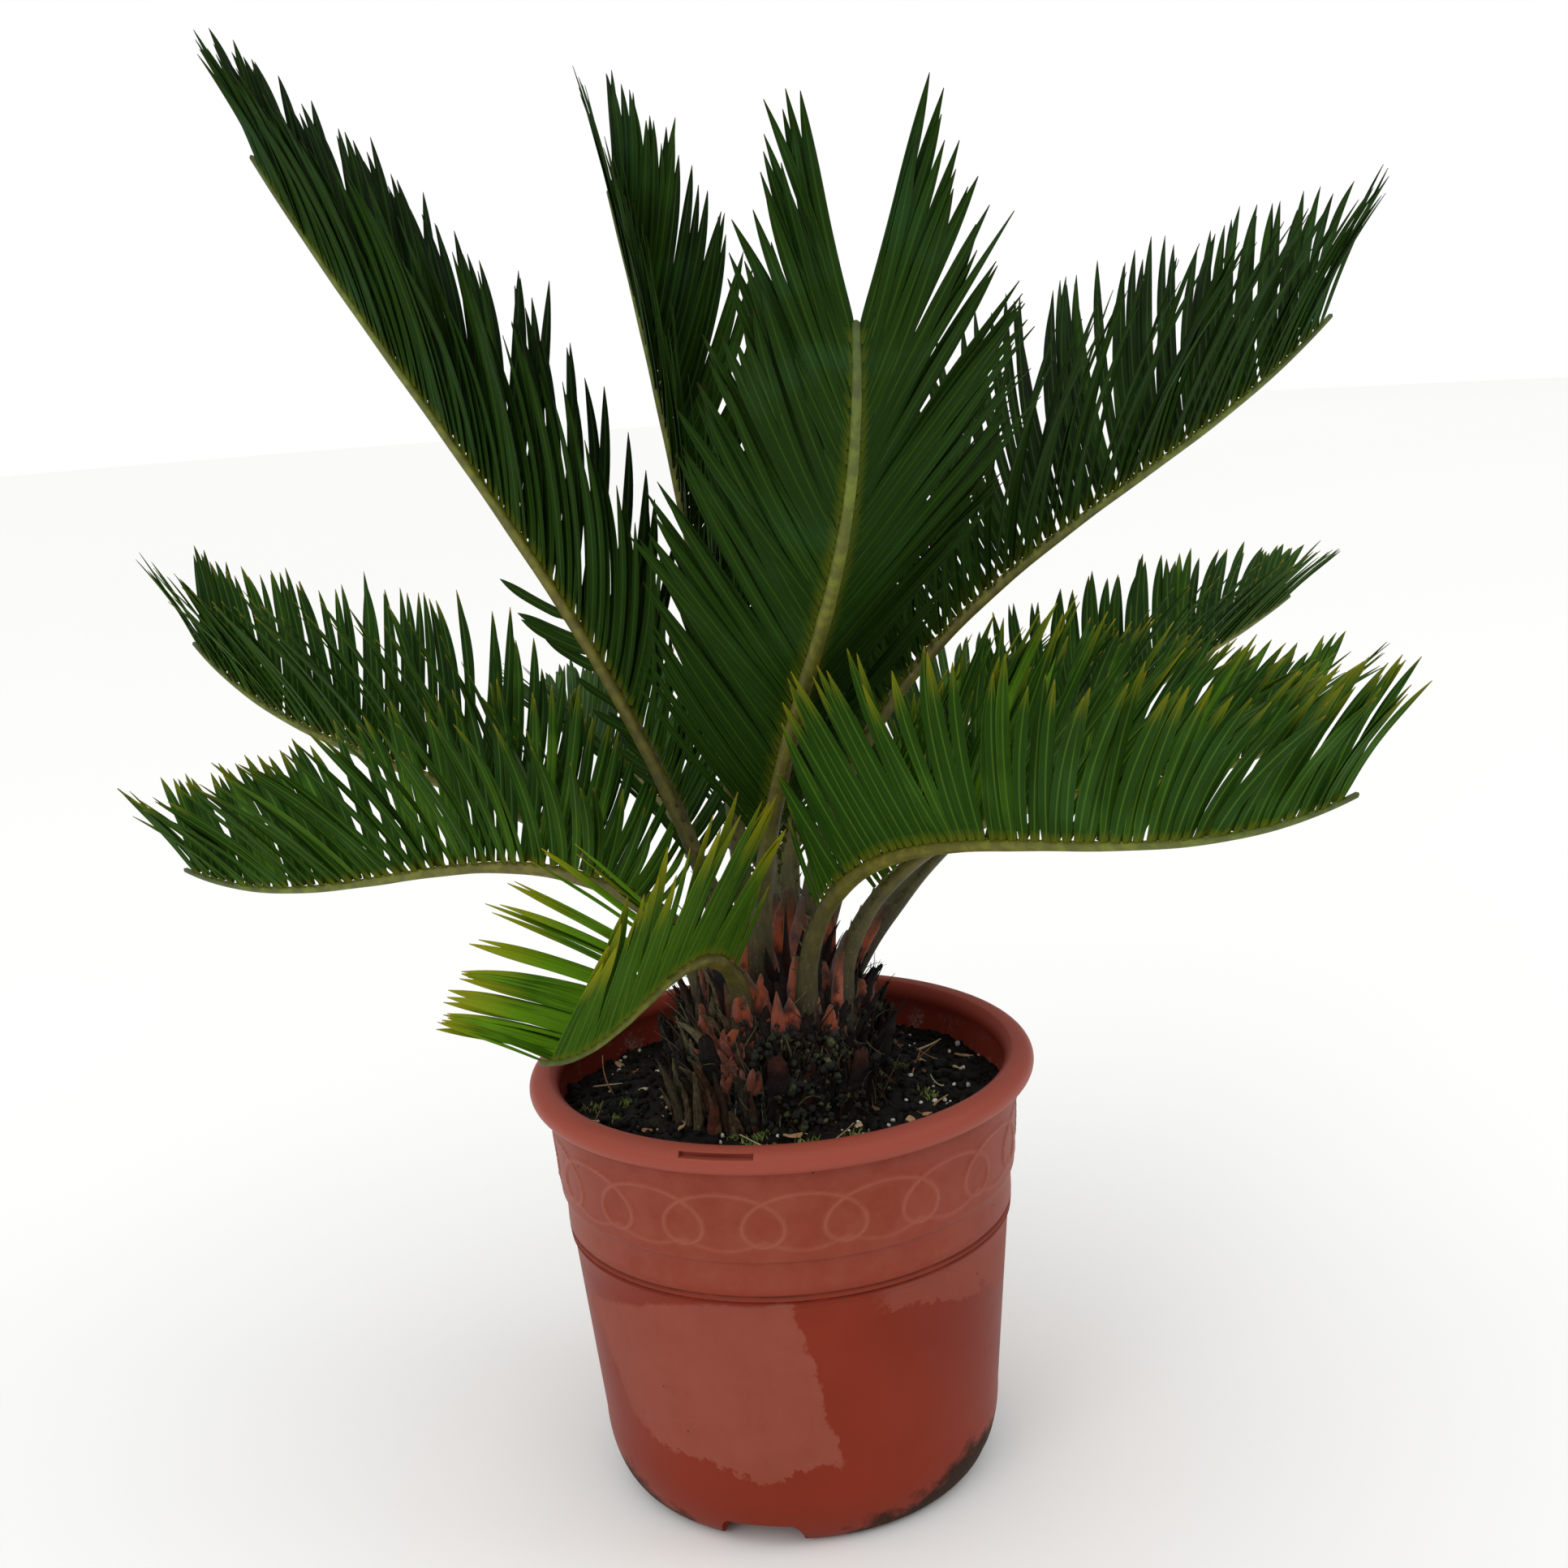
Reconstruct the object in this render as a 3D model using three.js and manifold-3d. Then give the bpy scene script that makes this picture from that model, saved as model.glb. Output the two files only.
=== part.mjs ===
// Potted sago palm: a young cycad standing in a plain nursery pot.
// Millimetres, +Z up, the pot's axis on Z and the floor it stands on at Z = 0.
import * as THREE from "three";
import { mergeVertices } from "three/addons/utils/BufferGeometryUtils.js";
import Module from "manifold-3d";

const wasm = await Module();
wasm.setup();

// Pot
const potHeight = 208;
const rimRadius = 120;
const rimHeight = 12.5;
const rimWidth = 14;
const wallThickness = 2.6;
const rimOverhang = 8.5; // the rim stands out from the wall by this
const bandTaper = 2.5; // how much narrower the band is at its lower edge
const bandHeight = 44.5;
const bandStep = 2; // the wall steps in by this under the band
const ledgeInset = 1.4; // the wall at the two fine mouldings, in from the wall under the band
const ledgeDrop = 64.5; // rim's underside down to the lower moulding
const potSegments = 40;
const bodyTaper = 8.6; // how much narrower the wall is where the round corner starts
const cornerHeight = 35;
const cornerReach = 16; // the round corner turns in by this to the foot ring
const footWidth = 6;
const footHeight = 8;
const footNotches = 4;
const notchWidth = 37;
const notchHeight = 7;
const notchRise = 13; // how high each notch cuts into the round corner
const notchReach = 5; // the corner is cut from this far outside the foot ring
const floorThickness = 3;
const drainHoles = 6;
const drainDiameter = 12;
const drainCircle = 46; // radius of the circle the holes sit on
const slotWidth = 33; // label slot in the rim
const slotHeight = 3;
const slotDepth = 1.5;
const slotDrop = 2.5; // below the top of the rim
const frontHeading = -105; // the side with the slot and one foot notch, degrees from +X

// Soil and trunk
const soilDrop = 23; // from the top of the rim down to the soil
const soilMound = 4; // the soil rises this much towards the trunk
const trunkRadius = 52; // at the soil
const shoulderRadius = 44;
const trunkRise = 65; // from the soil up to the highest part of the trunk
const crownRadius = 24; // circle the crown is highest on
const crownHollow = 12;
const rootDepth = 40; // how far the trunk goes into the soil
const trunkSegments = 24;

// Fronds
const baseRadius = 6; // petiole where it leaves the trunk
const petioleRadius = 4.2; // where the leaflets start
const tipRadius = 1.4;
const bareShare = 0.22; // share of a frond's length that carries no leaflets
const tipShare = 0.985;
const leafletThickness = 1;
const leafletForks = 0.5; // leaflets are one sheet up to this share of their length
const leafletPairs = 18;
const stemRings = 16;
const stemSides = 6;

// Fits
const fitGap = 0.3; // air left between two pieces that touch
const rowGap = 0.9; // air between a stem and the root edge of its rows

const turn = Math.PI / 180;

// Sizes that follow from those above
const bandRadius = rimRadius - rimOverhang; // where the ornamented band starts
const underBandRadius = bandRadius - bandTaper - bandStep;
const ledgeRadius = underBandRadius - ledgeInset;
const bodyRadius = ledgeRadius - bodyTaper;
const footRadius = bodyRadius - cornerReach;
const soilHeight = potHeight - soilDrop;
const crownHeight = soilHeight + trunkRise;

// Each frond. seat: the side of the trunk it grows from, in degrees from +X, its distance from
// the axis and its depth below the crown. heading: the way it leans, and sweep: how far it turns
// aside by its tip. rise: its angle above level at its foot, near its middle and at its tip.
// leaflet: the longest leaflet, lift: how steeply the two rows stand up from the stalk, angle:
// the leaflets' angle to the stalk at the first and last pair, curl: how much each bends forward.
const fronds = [
  // five upright fronds in the crown
  { seat: [190, 17, 14], heading: 171, sweep: -20, rise: [82, 60, 57], length: 455,
    leaflet: 112, lift: 70, angle: [66, 24], curl: 20 },
  { seat: [130, 18, 14], heading: 134, sweep: -18, rise: [90, 80, 66], length: 385,
    leaflet: 106, lift: 69, angle: [60, 24], curl: 20 },
  { seat: [250, 20, 14], heading: -66, sweep: -26, rise: [91, 46, 54], length: 400,
    leaflet: 128, lift: 24, angle: [55, 20], curl: 10 },
  { seat: [15, 17, 14], heading: 26, sweep: -8, rise: [96, 35, 42], length: 450,
    leaflet: 126, lift: 62, angle: [84, 42], curl: 20 },
  { seat: [66, 18, 14], heading: 74, sweep: 0, rise: [82, 62, 50], length: 300,
    leaflet: 84, lift: 68, angle: [62, 25], curl: 20 },
  // nine lower fronds that arch outwards
  { seat: [200, 38, 28], heading: 172, sweep: -11, rise: [105, 2, 24], length: 310,
    leaflet: 90, lift: 62, angle: [88, 40], curl: 15 },
  { seat: [152, 34, 14], heading: 155, sweep: -12, rise: [64, 16, 42], length: 360,
    leaflet: 96, lift: 66, angle: [82, 42], curl: 20 },
  { seat: [118, 34, 14], heading: 117, sweep: 0, rise: [65, 17, 8], length: 272,
    leaflet: 80, lift: 50, angle: [75, 30], curl: 20 },
  { seat: [245, 40, 28], heading: 246, sweep: -10, rise: [118, 2, 24], length: 200,
    leaflet: 80, lift: 50, angle: [80, 30], curl: 15 },
  { seat: [-68, 40, 32], heading: -62, sweep: 47, rise: [107, 16, 30], length: 345,
    leaflet: 102, lift: 60, angle: [88, 46], curl: 15 },
  { seat: [-35, 40, 24], heading: 0, sweep: 30, rise: [104, 12, 27], length: 308,
    leaflet: 92, lift: 58, angle: [80, 32], curl: 20 },
  { seat: [28, 36, 18], heading: 20, sweep: 24, rise: [57, 24, 16], length: 346,
    leaflet: 80, lift: 55, angle: [75, 30], curl: 20 },
  { seat: [60, 36, 18], heading: 58, sweep: 0, rise: [62, 18, 4], length: 282,
    leaflet: 80, lift: 50, angle: [75, 30], curl: 20 },
  { seat: [88, 36, 18], heading: 88, sweep: 0, rise: [58, 12, -4], length: 228,
    leaflet: 76, lift: 50, angle: [75, 30], curl: 20 },
];

// Dried stumps of old fronds round the trunk: the heading of each, and its foot's height over the soil.
const stumps = [
  [-92, 15], [-48, 11], [-14, 19], [10, 13], [42, 20],
  [104, 18], [134, 13], [182, 19], [212, 11], [232, 22],
];
const stumpLength = 34;
const stumpLean = 62; // degrees above level
const stumpRadius = 7;
const stumpTipRadius = 3.5;

function solidOf(geometry) {
  geometry.deleteAttribute("normal");
  geometry.deleteAttribute("uv");
  const merged = mergeVertices(geometry, 1e-4);
  return new wasm.Manifold(
    new wasm.Mesh({
      numProp: 3,
      vertProperties: new Float32Array(merged.attributes.position.array),
      triVerts: new Uint32Array(merged.index.array),
    }),
  );
}

function geometryOf(solid) {
  const mesh = solid.getMesh();
  const geometry = new THREE.BufferGeometry();
  geometry.setAttribute("position", new THREE.BufferAttribute(mesh.vertProperties, 3));
  geometry.setIndex(new THREE.BufferAttribute(mesh.triVerts, 1));
  geometry.computeVertexNormals();
  return geometry;
}

// The one body that matters when a cut leaves chips beside it.
function largestOf(solid) {
  return solid.decompose().reduce((a, b) => (a.volume() > b.volume() ? a : b));
}

// Solid of revolution about Z from [radius, height] points; they run up the outside.
function turned(points, segments) {
  const profile = points.map(([radius, height]) => new THREE.Vector2(radius, height));
  const geometry = new THREE.LatheGeometry(profile, segments);
  geometry.rotateX(Math.PI / 2);
  return solidOf(geometry);
}

function boxAt(size, heading, radius, height) {
  const geometry = new THREE.BoxGeometry(...size);
  geometry.translate(radius, 0, height);
  geometry.rotateZ(heading * turn);
  return solidOf(geometry);
}

// Outline of the pot's wall as [outer radius, height], from the foot up to the rim's underside.
function wallOutline() {
  const bandTop = potHeight - rimHeight;
  const bandBottom = bandTop - bandHeight;
  const moulding = bandTop - ledgeDrop;
  const outline = [];
  const turnIn = bodyRadius - footRadius;
  for (let i = 0; i <= 5; i++) {
    const angle = (i / 5) * 90 * turn;
    outline.push([
      footRadius + turnIn * Math.sin(angle),
      cornerHeight * (1 - Math.cos(angle)),
    ]);
  }
  outline.push(
    [ledgeRadius - 0.3, moulding - 3],
    [ledgeRadius + 1, moulding - 1.5],
    [ledgeRadius, moulding],
    [ledgeRadius + 1.2, moulding + 2],
    [underBandRadius, moulding + 4],
    [underBandRadius, bandBottom],
    [underBandRadius + bandStep, bandBottom + 1],
    [bandRadius, bandTop],
  );
  return outline;
}

// Inner wall as [radius, height], from the floor up to the rim.
const bandBottomHeight = potHeight - rimHeight - bandHeight;
const innerWall = [
  [footRadius, footHeight + floorThickness],
  [bodyRadius - wallThickness - 4, cornerHeight * 0.7],
  [bodyRadius - wallThickness, cornerHeight + 4],
  [underBandRadius - wallThickness, bandBottomHeight],
  [bandRadius - wallThickness, potHeight - rimHeight],
];

function innerRadius(height) {
  const above = innerWall.findIndex((point) => point[1] >= height);
  const [lowRadius, low] = innerWall[above - 1];
  const [highRadius, high] = innerWall[above];
  return lowRadius + ((highRadius - lowRadius) * (height - low)) / (high - low);
}

function potSolid() {
  const rim = [];
  for (let i = 0; i <= 7; i++) {
    const angle = (-80 + i * 33) * turn;
    rim.push([
      rimRadius - rimWidth / 2 + (rimWidth / 2) * Math.cos(angle),
      potHeight - rimHeight / 2 + (rimHeight / 2) * Math.sin(angle),
    ]);
  }
  const underside = [
    [0, footHeight + floorThickness],
    [0, footHeight],
    [footRadius - footWidth, footHeight],
    [footRadius - footWidth, 0],
  ];
  const outline = wallOutline();
  const profile = [...outline, ...rim, ...[...innerWall].reverse(), ...underside, outline[0]];
  let pot = turned(profile, potSegments);
  for (let i = 0; i < footNotches; i++) {
    const heading = frontHeading + (i * 360) / footNotches;
    const size = [footWidth * 4, notchWidth, notchHeight * 2];
    pot = pot.subtract(boxAt(size, heading, footRadius, 0));
    const corner = [cornerReach, notchWidth, notchRise * 2];
    pot = pot.subtract(boxAt(corner, heading, footRadius + notchReach + cornerReach / 2, 0));
  }
  for (let i = 0; i < drainHoles; i++) {
    const depth = footHeight + floorThickness * 2;
    const hole = new THREE.CylinderGeometry(drainDiameter / 2, drainDiameter / 2, depth, 12);
    hole.rotateX(Math.PI / 2);
    hole.translate(drainCircle, 0, footHeight + floorThickness / 2);
    hole.rotateZ((i * 2 * Math.PI) / drainHoles);
    pot = pot.subtract(solidOf(hole));
  }
  const slot = [slotDepth * 2, slotWidth, slotHeight];
  return pot.subtract(boxAt(slot, frontHeading, rimRadius - slotDepth, potHeight - slotDrop));
}

// The trunk is a stout bulb, hollow at the crown, with its foot sunk in the soil.
function trunkSolid(grow) {
  const profile = [
    [0, soilHeight - rootDepth - grow],
    [trunkRadius * 0.55 + grow, soilHeight - rootDepth - grow],
    [trunkRadius * 0.9 + grow, soilHeight - rootDepth * 0.6],
    [trunkRadius + grow, soilHeight],
    [trunkRadius - 3 + grow, soilHeight + 20],
    [shoulderRadius + grow, crownHeight - 22],
    [crownRadius + 10 + grow, crownHeight - 4 + grow],
    [crownRadius, crownHeight + grow],
    [crownRadius * 0.4, crownHeight - crownHollow + grow],
    [0, crownHeight - crownHollow + grow],
  ];
  return turned(profile, trunkSegments);
}

// Soil fills the pot up to a little under the rim and closes round the trunk's foot.
function soilSolid() {
  const floor = footHeight + floorThickness + fitGap;
  const profile = [
    [0, floor],
    [footRadius - fitGap, floor],
    ...innerWall.slice(1, -1).map(([radius, height]) => [radius - fitGap, height]),
    [innerRadius(soilHeight) - fitGap, soilHeight],
    [(innerRadius(soilHeight) + trunkRadius) / 2, soilHeight + soilMound * 0.4],
    [trunkRadius - 6, soilHeight + soilMound],
    [0, soilHeight + soilMound],
  ];
  return turned(profile, potSegments).subtract(trunkSolid(fitGap));
}

// Quadratic through a frond's three rise angles, at its foot, middle and tip.
function riseAt(frond, share) {
  const [foot, middle, tip] = frond.rise;
  const knee = 0.45;
  const bend = ((tip - foot) - (middle - foot) / knee) / (1 - knee);
  const slope = (middle - foot) / knee - bend * knee;
  return (foot + slope * share + bend * share * share) * turn;
}

// Point and directions on a frond's midline, at a share of its length.
function midlineOf(frond) {
  const steps = 120;
  const [headingAtFoot, radius, drop] = frond.seat;
  const place = new THREE.Vector3(
    radius * Math.cos(headingAtFoot * turn),
    radius * Math.sin(headingAtFoot * turn),
    crownHeight - drop,
  );
  const stations = [];
  for (let i = 0; i <= steps; i++) {
    const share = i / steps;
    const rise = riseAt(frond, share);
    const heading = (frond.heading + frond.sweep * share ** 1.5) * turn;
    const along = new THREE.Vector3(
      Math.cos(rise) * Math.cos(heading),
      Math.cos(rise) * Math.sin(heading),
      Math.sin(rise),
    );
    const side = new THREE.Vector3(Math.sin(heading), -Math.cos(heading), 0);
    side.addScaledVector(along, -side.dot(along)).normalize();
    const above = new THREE.Vector3().crossVectors(side, along);
    stations.push({ place: place.clone(), along, side, above });
    place.addScaledVector(along, frond.length / steps);
  }
  return (share) => {
    const at = Math.min(Math.max(share, 0), 1) * steps;
    const low = Math.min(Math.floor(at), steps - 1);
    const blend = at - low;
    const mixed = {};
    for (const key of ["place", "along", "side", "above"]) {
      mixed[key] = stations[low][key].clone().lerp(stations[low + 1][key], blend);
    }
    return mixed;
  };
}

function stemRadius(share) {
  if (share < bareShare) {
    return baseRadius + ((petioleRadius - baseRadius) * share) / bareShare;
  }
  return petioleRadius + ((tipRadius - petioleRadius) * (share - bareShare)) / (1 - bareShare);
}

// Closed mesh from a grid of rings, capped with a fan at each end.
function tubeOf(rings) {
  const sides = rings[0].length;
  const points = rings.flat();
  const faces = [];
  for (let i = 0; i < rings.length - 1; i++) {
    for (let j = 0; j < sides; j++) {
      const next = (j + 1) % sides;
      const a = i * sides + j;
      const b = i * sides + next;
      faces.push(a, b, a + sides, b, b + sides, a + sides);
    }
  }
  const last = (rings.length - 1) * sides;
  for (let j = 1; j < sides - 1; j++) {
    faces.push(0, j + 1, j);
    faces.push(last, last + j, last + j + 1);
  }
  return facesOf(points, faces);
}

function facesOf(points, faces) {
  const geometry = new THREE.BufferGeometry();
  geometry.setAttribute(
    "position",
    new THREE.BufferAttribute(new Float32Array(points.flatMap((p) => p.toArray())), 3),
  );
  geometry.setIndex(faces);
  return solidOf(geometry);
}

function stemSolid(frond, grow) {
  const at = midlineOf(frond);
  const rings = [];
  for (let i = 0; i < stemRings; i++) {
    const share = i / (stemRings - 1);
    const { place, side, above } = at(share);
    const radius = stemRadius(share) + grow;
    const ring = [];
    for (let j = 0; j < stemSides; j++) {
      const angle = (j * 2 * Math.PI) / stemSides;
      ring.push(
        place.clone()
          .addScaledVector(side, -radius * Math.cos(angle))
          .addScaledVector(above, radius * Math.sin(angle)),
      );
    }
    rings.push(ring);
  }
  return tubeOf(rings);
}

// Length of a leaflet at a share of the frond: shorter at both ends of the row.
function leafletLength(frond, share) {
  const along = (share - bareShare) / (tipShare - bareShare);
  const swell = along < 0.3 ? 0.5 + (0.5 * along) / 0.3 : 1 - 0.45 * ((along - 0.3) / 0.7) ** 2;
  return frond.leaflet * swell;
}

// One row of leaflets as a thin toothed sheet; hand is 1 for the right row, -1 for the left.
function rowSolid(frond, hand, grow) {
  const at = midlineOf(frond);
  const thickness = leafletThickness / 2 + grow;
  const spot = (share, reach, up) => {
    const { place, along, side, above } = at(share);
    const rowShare = (share - bareShare) / (tipShare - bareShare);
    const [firstAngle, lastAngle] = frond.angle;
    const opening = firstAngle + (lastAngle - firstAngle) * rowShare - (frond.curl * reach) / 2;
    const outward = side.clone().multiplyScalar(hand * Math.cos(frond.lift * turn));
    outward.addScaledVector(above, Math.sin(frond.lift * turn)).normalize();
    const normal = new THREE.Vector3().crossVectors(along, outward).normalize();
    const edge = reach > 0 ? grow * 2 : 0;
    const length = leafletLength(frond, share) * reach + edge;
    return place.clone()
      .addScaledVector(outward, stemRadius(share) + rowGap)
      .addScaledVector(along, length * Math.cos(opening * turn))
      .addScaledVector(outward, length * Math.sin(opening * turn))
      .addScaledVector(normal, thickness * up);
  };
  const points = [];
  for (const up of [1, -1]) {
    for (let i = 0; i <= leafletPairs; i++) {
      const share = bareShare + ((tipShare - bareShare) * i) / leafletPairs;
      points.push(spot(share, 0, up), spot(share, leafletForks, up));
      const middle = share + (tipShare - bareShare) / leafletPairs / 2;
      points.push(spot(Math.min(middle, 1), 1, up));
    }
  }
  const back = (leafletPairs + 1) * 3;
  const faces = [];
  const quad = (a, b, c, d) => faces.push(a, b, c, a, c, d);
  for (let i = 0; i < leafletPairs; i++) {
    const [root, fork, tip, nextRoot, nextFork] = [0, 1, 2, 3, 4].map((j) => i * 3 + j);
    quad(root, nextRoot, nextFork, fork);
    quad(back + root, back + fork, back + nextFork, back + nextRoot);
    faces.push(fork, nextFork, tip);
    faces.push(back + fork, back + tip, back + nextFork);
    quad(root, back + root, back + nextRoot, nextRoot);
    quad(fork, tip, back + tip, back + fork);
    quad(tip, nextFork, back + nextFork, back + tip);
  }
  const end = leafletPairs * 3;
  quad(0, 1, back + 1, back);
  quad(end, back + end, back + end + 1, end + 1);
  const used = [...new Set(faces)].sort((a, b) => a - b);
  const renumbered = new Map(used.map((index, order) => [index, order]));
  return facesOf(used.map((index) => points[index]), faces.map((index) => renumbered.get(index)));
}

// A stump is what is left of a cut frond: a blunt peg leaning out from the trunk.
function stumpSolid([heading, rise], grow) {
  const lean = stumpLean * turn;
  const along = new THREE.Vector3(Math.cos(lean), 0, Math.sin(lean));
  const above = new THREE.Vector3(-Math.sin(lean), 0, Math.cos(lean));
  const side = new THREE.Vector3(0, -1, 0);
  const foot = new THREE.Vector3(trunkRadius - 5, 0, soilHeight + rise);
  const rings = [0, 0.6, 1].map((share) => {
    const ring = [];
    const radius = stumpRadius + (stumpTipRadius - stumpRadius) * share + grow;
    for (let j = 0; j < stemSides; j++) {
      const angle = (j * 2 * Math.PI) / stemSides;
      ring.push(
        foot.clone()
          .addScaledVector(along, share * stumpLength)
          .addScaledVector(side, -radius * 1.4 * Math.cos(angle))
          .addScaledVector(above, radius * 0.6 * Math.sin(angle))
          .applyAxisAngle(new THREE.Vector3(0, 0, 1), heading * turn),
      );
    }
    return ring;
  });
  return tubeOf(rings);
}

const plastic = { color: 0x9a4a3a, roughness: 0.6, metalness: 0 };
const earth = { color: 0x14100d, roughness: 0.95, metalness: 0 };
const bark = { color: 0x3a2a1e, roughness: 0.9, metalness: 0 };
const stalk = { color: 0x6f6a24, roughness: 0.6, metalness: 0 };
const leaf = { color: 0x2c4a18, roughness: 0.45, metalness: 0 };

const palm = new THREE.Group();
const placed = [];

// Adds one piece, first cutting it back by the fit gap wherever it would meet an earlier one.
function place(name, finish, build) {
  let solid = build(0);
  const box = solid.boundingBox();
  const reaches = (other) =>
    [0, 1, 2].every((i) => box.min[i] < other.max[i] && other.min[i] < box.max[i]);
  for (const earlier of placed) {
    if (reaches(earlier.box) && solid.intersect(earlier.grown).volume() > 0) {
      solid = largestOf(solid.subtract(earlier.grown));
    }
  }
  const grown = build(fitGap);
  placed.push({ box: grown.boundingBox(), grown });
  const mesh = new THREE.Mesh(geometryOf(solid), new THREE.MeshStandardMaterial(finish));
  mesh.name = name;
  palm.add(mesh);
}

palm.name = "potted_sago_palm";
const pot = new THREE.Mesh(geometryOf(potSolid()), new THREE.MeshStandardMaterial(plastic));
pot.name = "pot";
const soil = new THREE.Mesh(geometryOf(soilSolid()), new THREE.MeshStandardMaterial(earth));
soil.name = "soil";
palm.add(pot, soil);
place("trunk", bark, trunkSolid);
fronds.forEach((frond, i) => {
  place("frond_" + (i + 1) + "_stem", stalk, (grow) => stemSolid(frond, grow));
});
stumps.forEach((stump, i) => {
  place("stump_" + (i + 1), bark, (grow) => stumpSolid(stump, grow));
});
fronds.forEach((frond, i) => {
  place("frond_" + (i + 1) + "_leaflets_left", leaf, (grow) => rowSolid(frond, -1, grow));
  place("frond_" + (i + 1) + "_leaflets_right", leaf, (grow) => rowSolid(frond, 1, grow));
});

export default palm;
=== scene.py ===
# Potted sago palm: a young cycad in a round nursery pot. Everything is in metres, in the frame of the model.
import math
import bmesh
import bpy
import numpy as np
from mathutils import Matrix, Vector, noise


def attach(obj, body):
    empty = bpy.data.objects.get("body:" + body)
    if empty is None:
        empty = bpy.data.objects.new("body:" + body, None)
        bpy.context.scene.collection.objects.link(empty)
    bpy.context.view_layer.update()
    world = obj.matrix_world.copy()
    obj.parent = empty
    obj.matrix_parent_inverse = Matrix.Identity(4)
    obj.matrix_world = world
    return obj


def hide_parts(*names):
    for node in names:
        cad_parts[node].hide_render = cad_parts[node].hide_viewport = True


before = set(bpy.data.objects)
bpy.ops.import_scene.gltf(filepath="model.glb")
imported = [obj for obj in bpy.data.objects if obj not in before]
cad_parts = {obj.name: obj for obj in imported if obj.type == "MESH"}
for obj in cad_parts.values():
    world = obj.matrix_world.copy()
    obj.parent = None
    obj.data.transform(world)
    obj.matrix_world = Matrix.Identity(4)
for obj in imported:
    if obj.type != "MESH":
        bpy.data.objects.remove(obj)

mm = 0.001
deg = math.pi / 180
scene = bpy.context.scene
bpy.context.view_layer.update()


def toLinear(hexColour):
    # sRGB hex to the linear values that the shader sockets take
    channels = [int(hexColour[i:i + 2], 16) / 255 for i in (1, 3, 5)]
    return tuple(c / 12.92 if c <= 0.04045 else ((c + 0.055) / 1.055) ** 2.4 for c in channels) + (1.0,)


def addNode(tree, kind, inputs=(), stops=(), **settings):
    # settings are the node's own; inputs are numbers, hex colours, nodes or sockets, in order or by name;
    # stops fill a colour ramp
    node = tree.nodes.new("ShaderNode" + kind)
    for name, value in settings.items():
        setattr(node, name, value)
    for socket, value in inputs.items() if isinstance(inputs, dict) else enumerate(inputs):
        target = node.inputs[socket]
        if isinstance(value, bpy.types.Node):
            value = value.outputs[0]
        if isinstance(value, bpy.types.NodeSocket):
            tree.links.new(value, target)
        else:
            target.default_value = toLinear(value) if isinstance(value, str) else value
    if stops:
        ramp = node.color_ramp.elements
        while len(ramp) < len(stops):
            ramp.new(1.0)
        for element, (place, colour) in zip(ramp, stops):
            element.position = place
            element.color = toLinear(colour)
    return node


def startMaterial(name):
    material = bpy.data.materials.new(name)
    material.use_nodes = True
    material.node_tree.nodes.clear()
    return material, material.node_tree


def finishMaterial(tree, sockets):
    shader = addNode(tree, "BsdfPrincipled", sockets)
    addNode(tree, "OutputMaterial", {"Surface": shader})


camera = {
    "place": (0, -919, 557),   # mm
    "yaw": 0.62, "down": 13.38, "roll": -3.68,   # degrees
    "lens": 46.8, "sensor": 36,
}


def placeCamera():
    yaw, down, roll = camera["yaw"] * deg, camera["down"] * deg, camera["roll"] * deg
    forward = Vector((math.sin(yaw) * math.cos(down), math.cos(yaw) * math.cos(down), -math.sin(down)))
    right = forward.cross(Vector((0, 0, 1))).normalized()
    up = right.cross(forward)
    turnedRight = right * math.cos(roll) + up * math.sin(roll)
    turnedUp = -right * math.sin(roll) + up * math.cos(roll)
    lens = bpy.data.cameras.new("studioCamera")
    lens.lens, lens.sensor_width = camera["lens"], camera["sensor"]
    lens.clip_start, lens.clip_end = 0.01, 60
    eye = bpy.data.objects.new("studioCamera", lens)
    scene.collection.objects.link(eye)
    eye.matrix_world = Matrix.LocRotScale(
        Vector(camera["place"]) * mm, Matrix((turnedRight, turnedUp, -forward)).transposed(), None)
    scene.camera = eye


studio = {
    "backdrop": "#FFFFFF", "fill": 0.34,           # white paper, and the weaker light it gives the plant
    "skyStrength": 2.35, "skySpread": 120,         # one broad overhead light, degrees across
    "floorColour": "#F7F7F5", "floorRadius": 9.0,
    # name, place (m), aimed at (m), size (m), watts
    "lamps": [
        ("frontSoftbox", (-1.7, -2.2, 1.5), (0, 0, 0.25), 1.5, 13),
        ("sideSoftbox", (2.2, -0.4, 1.7), (0, 0, 0.4), 1.2, 9),
    ],
}


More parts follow.
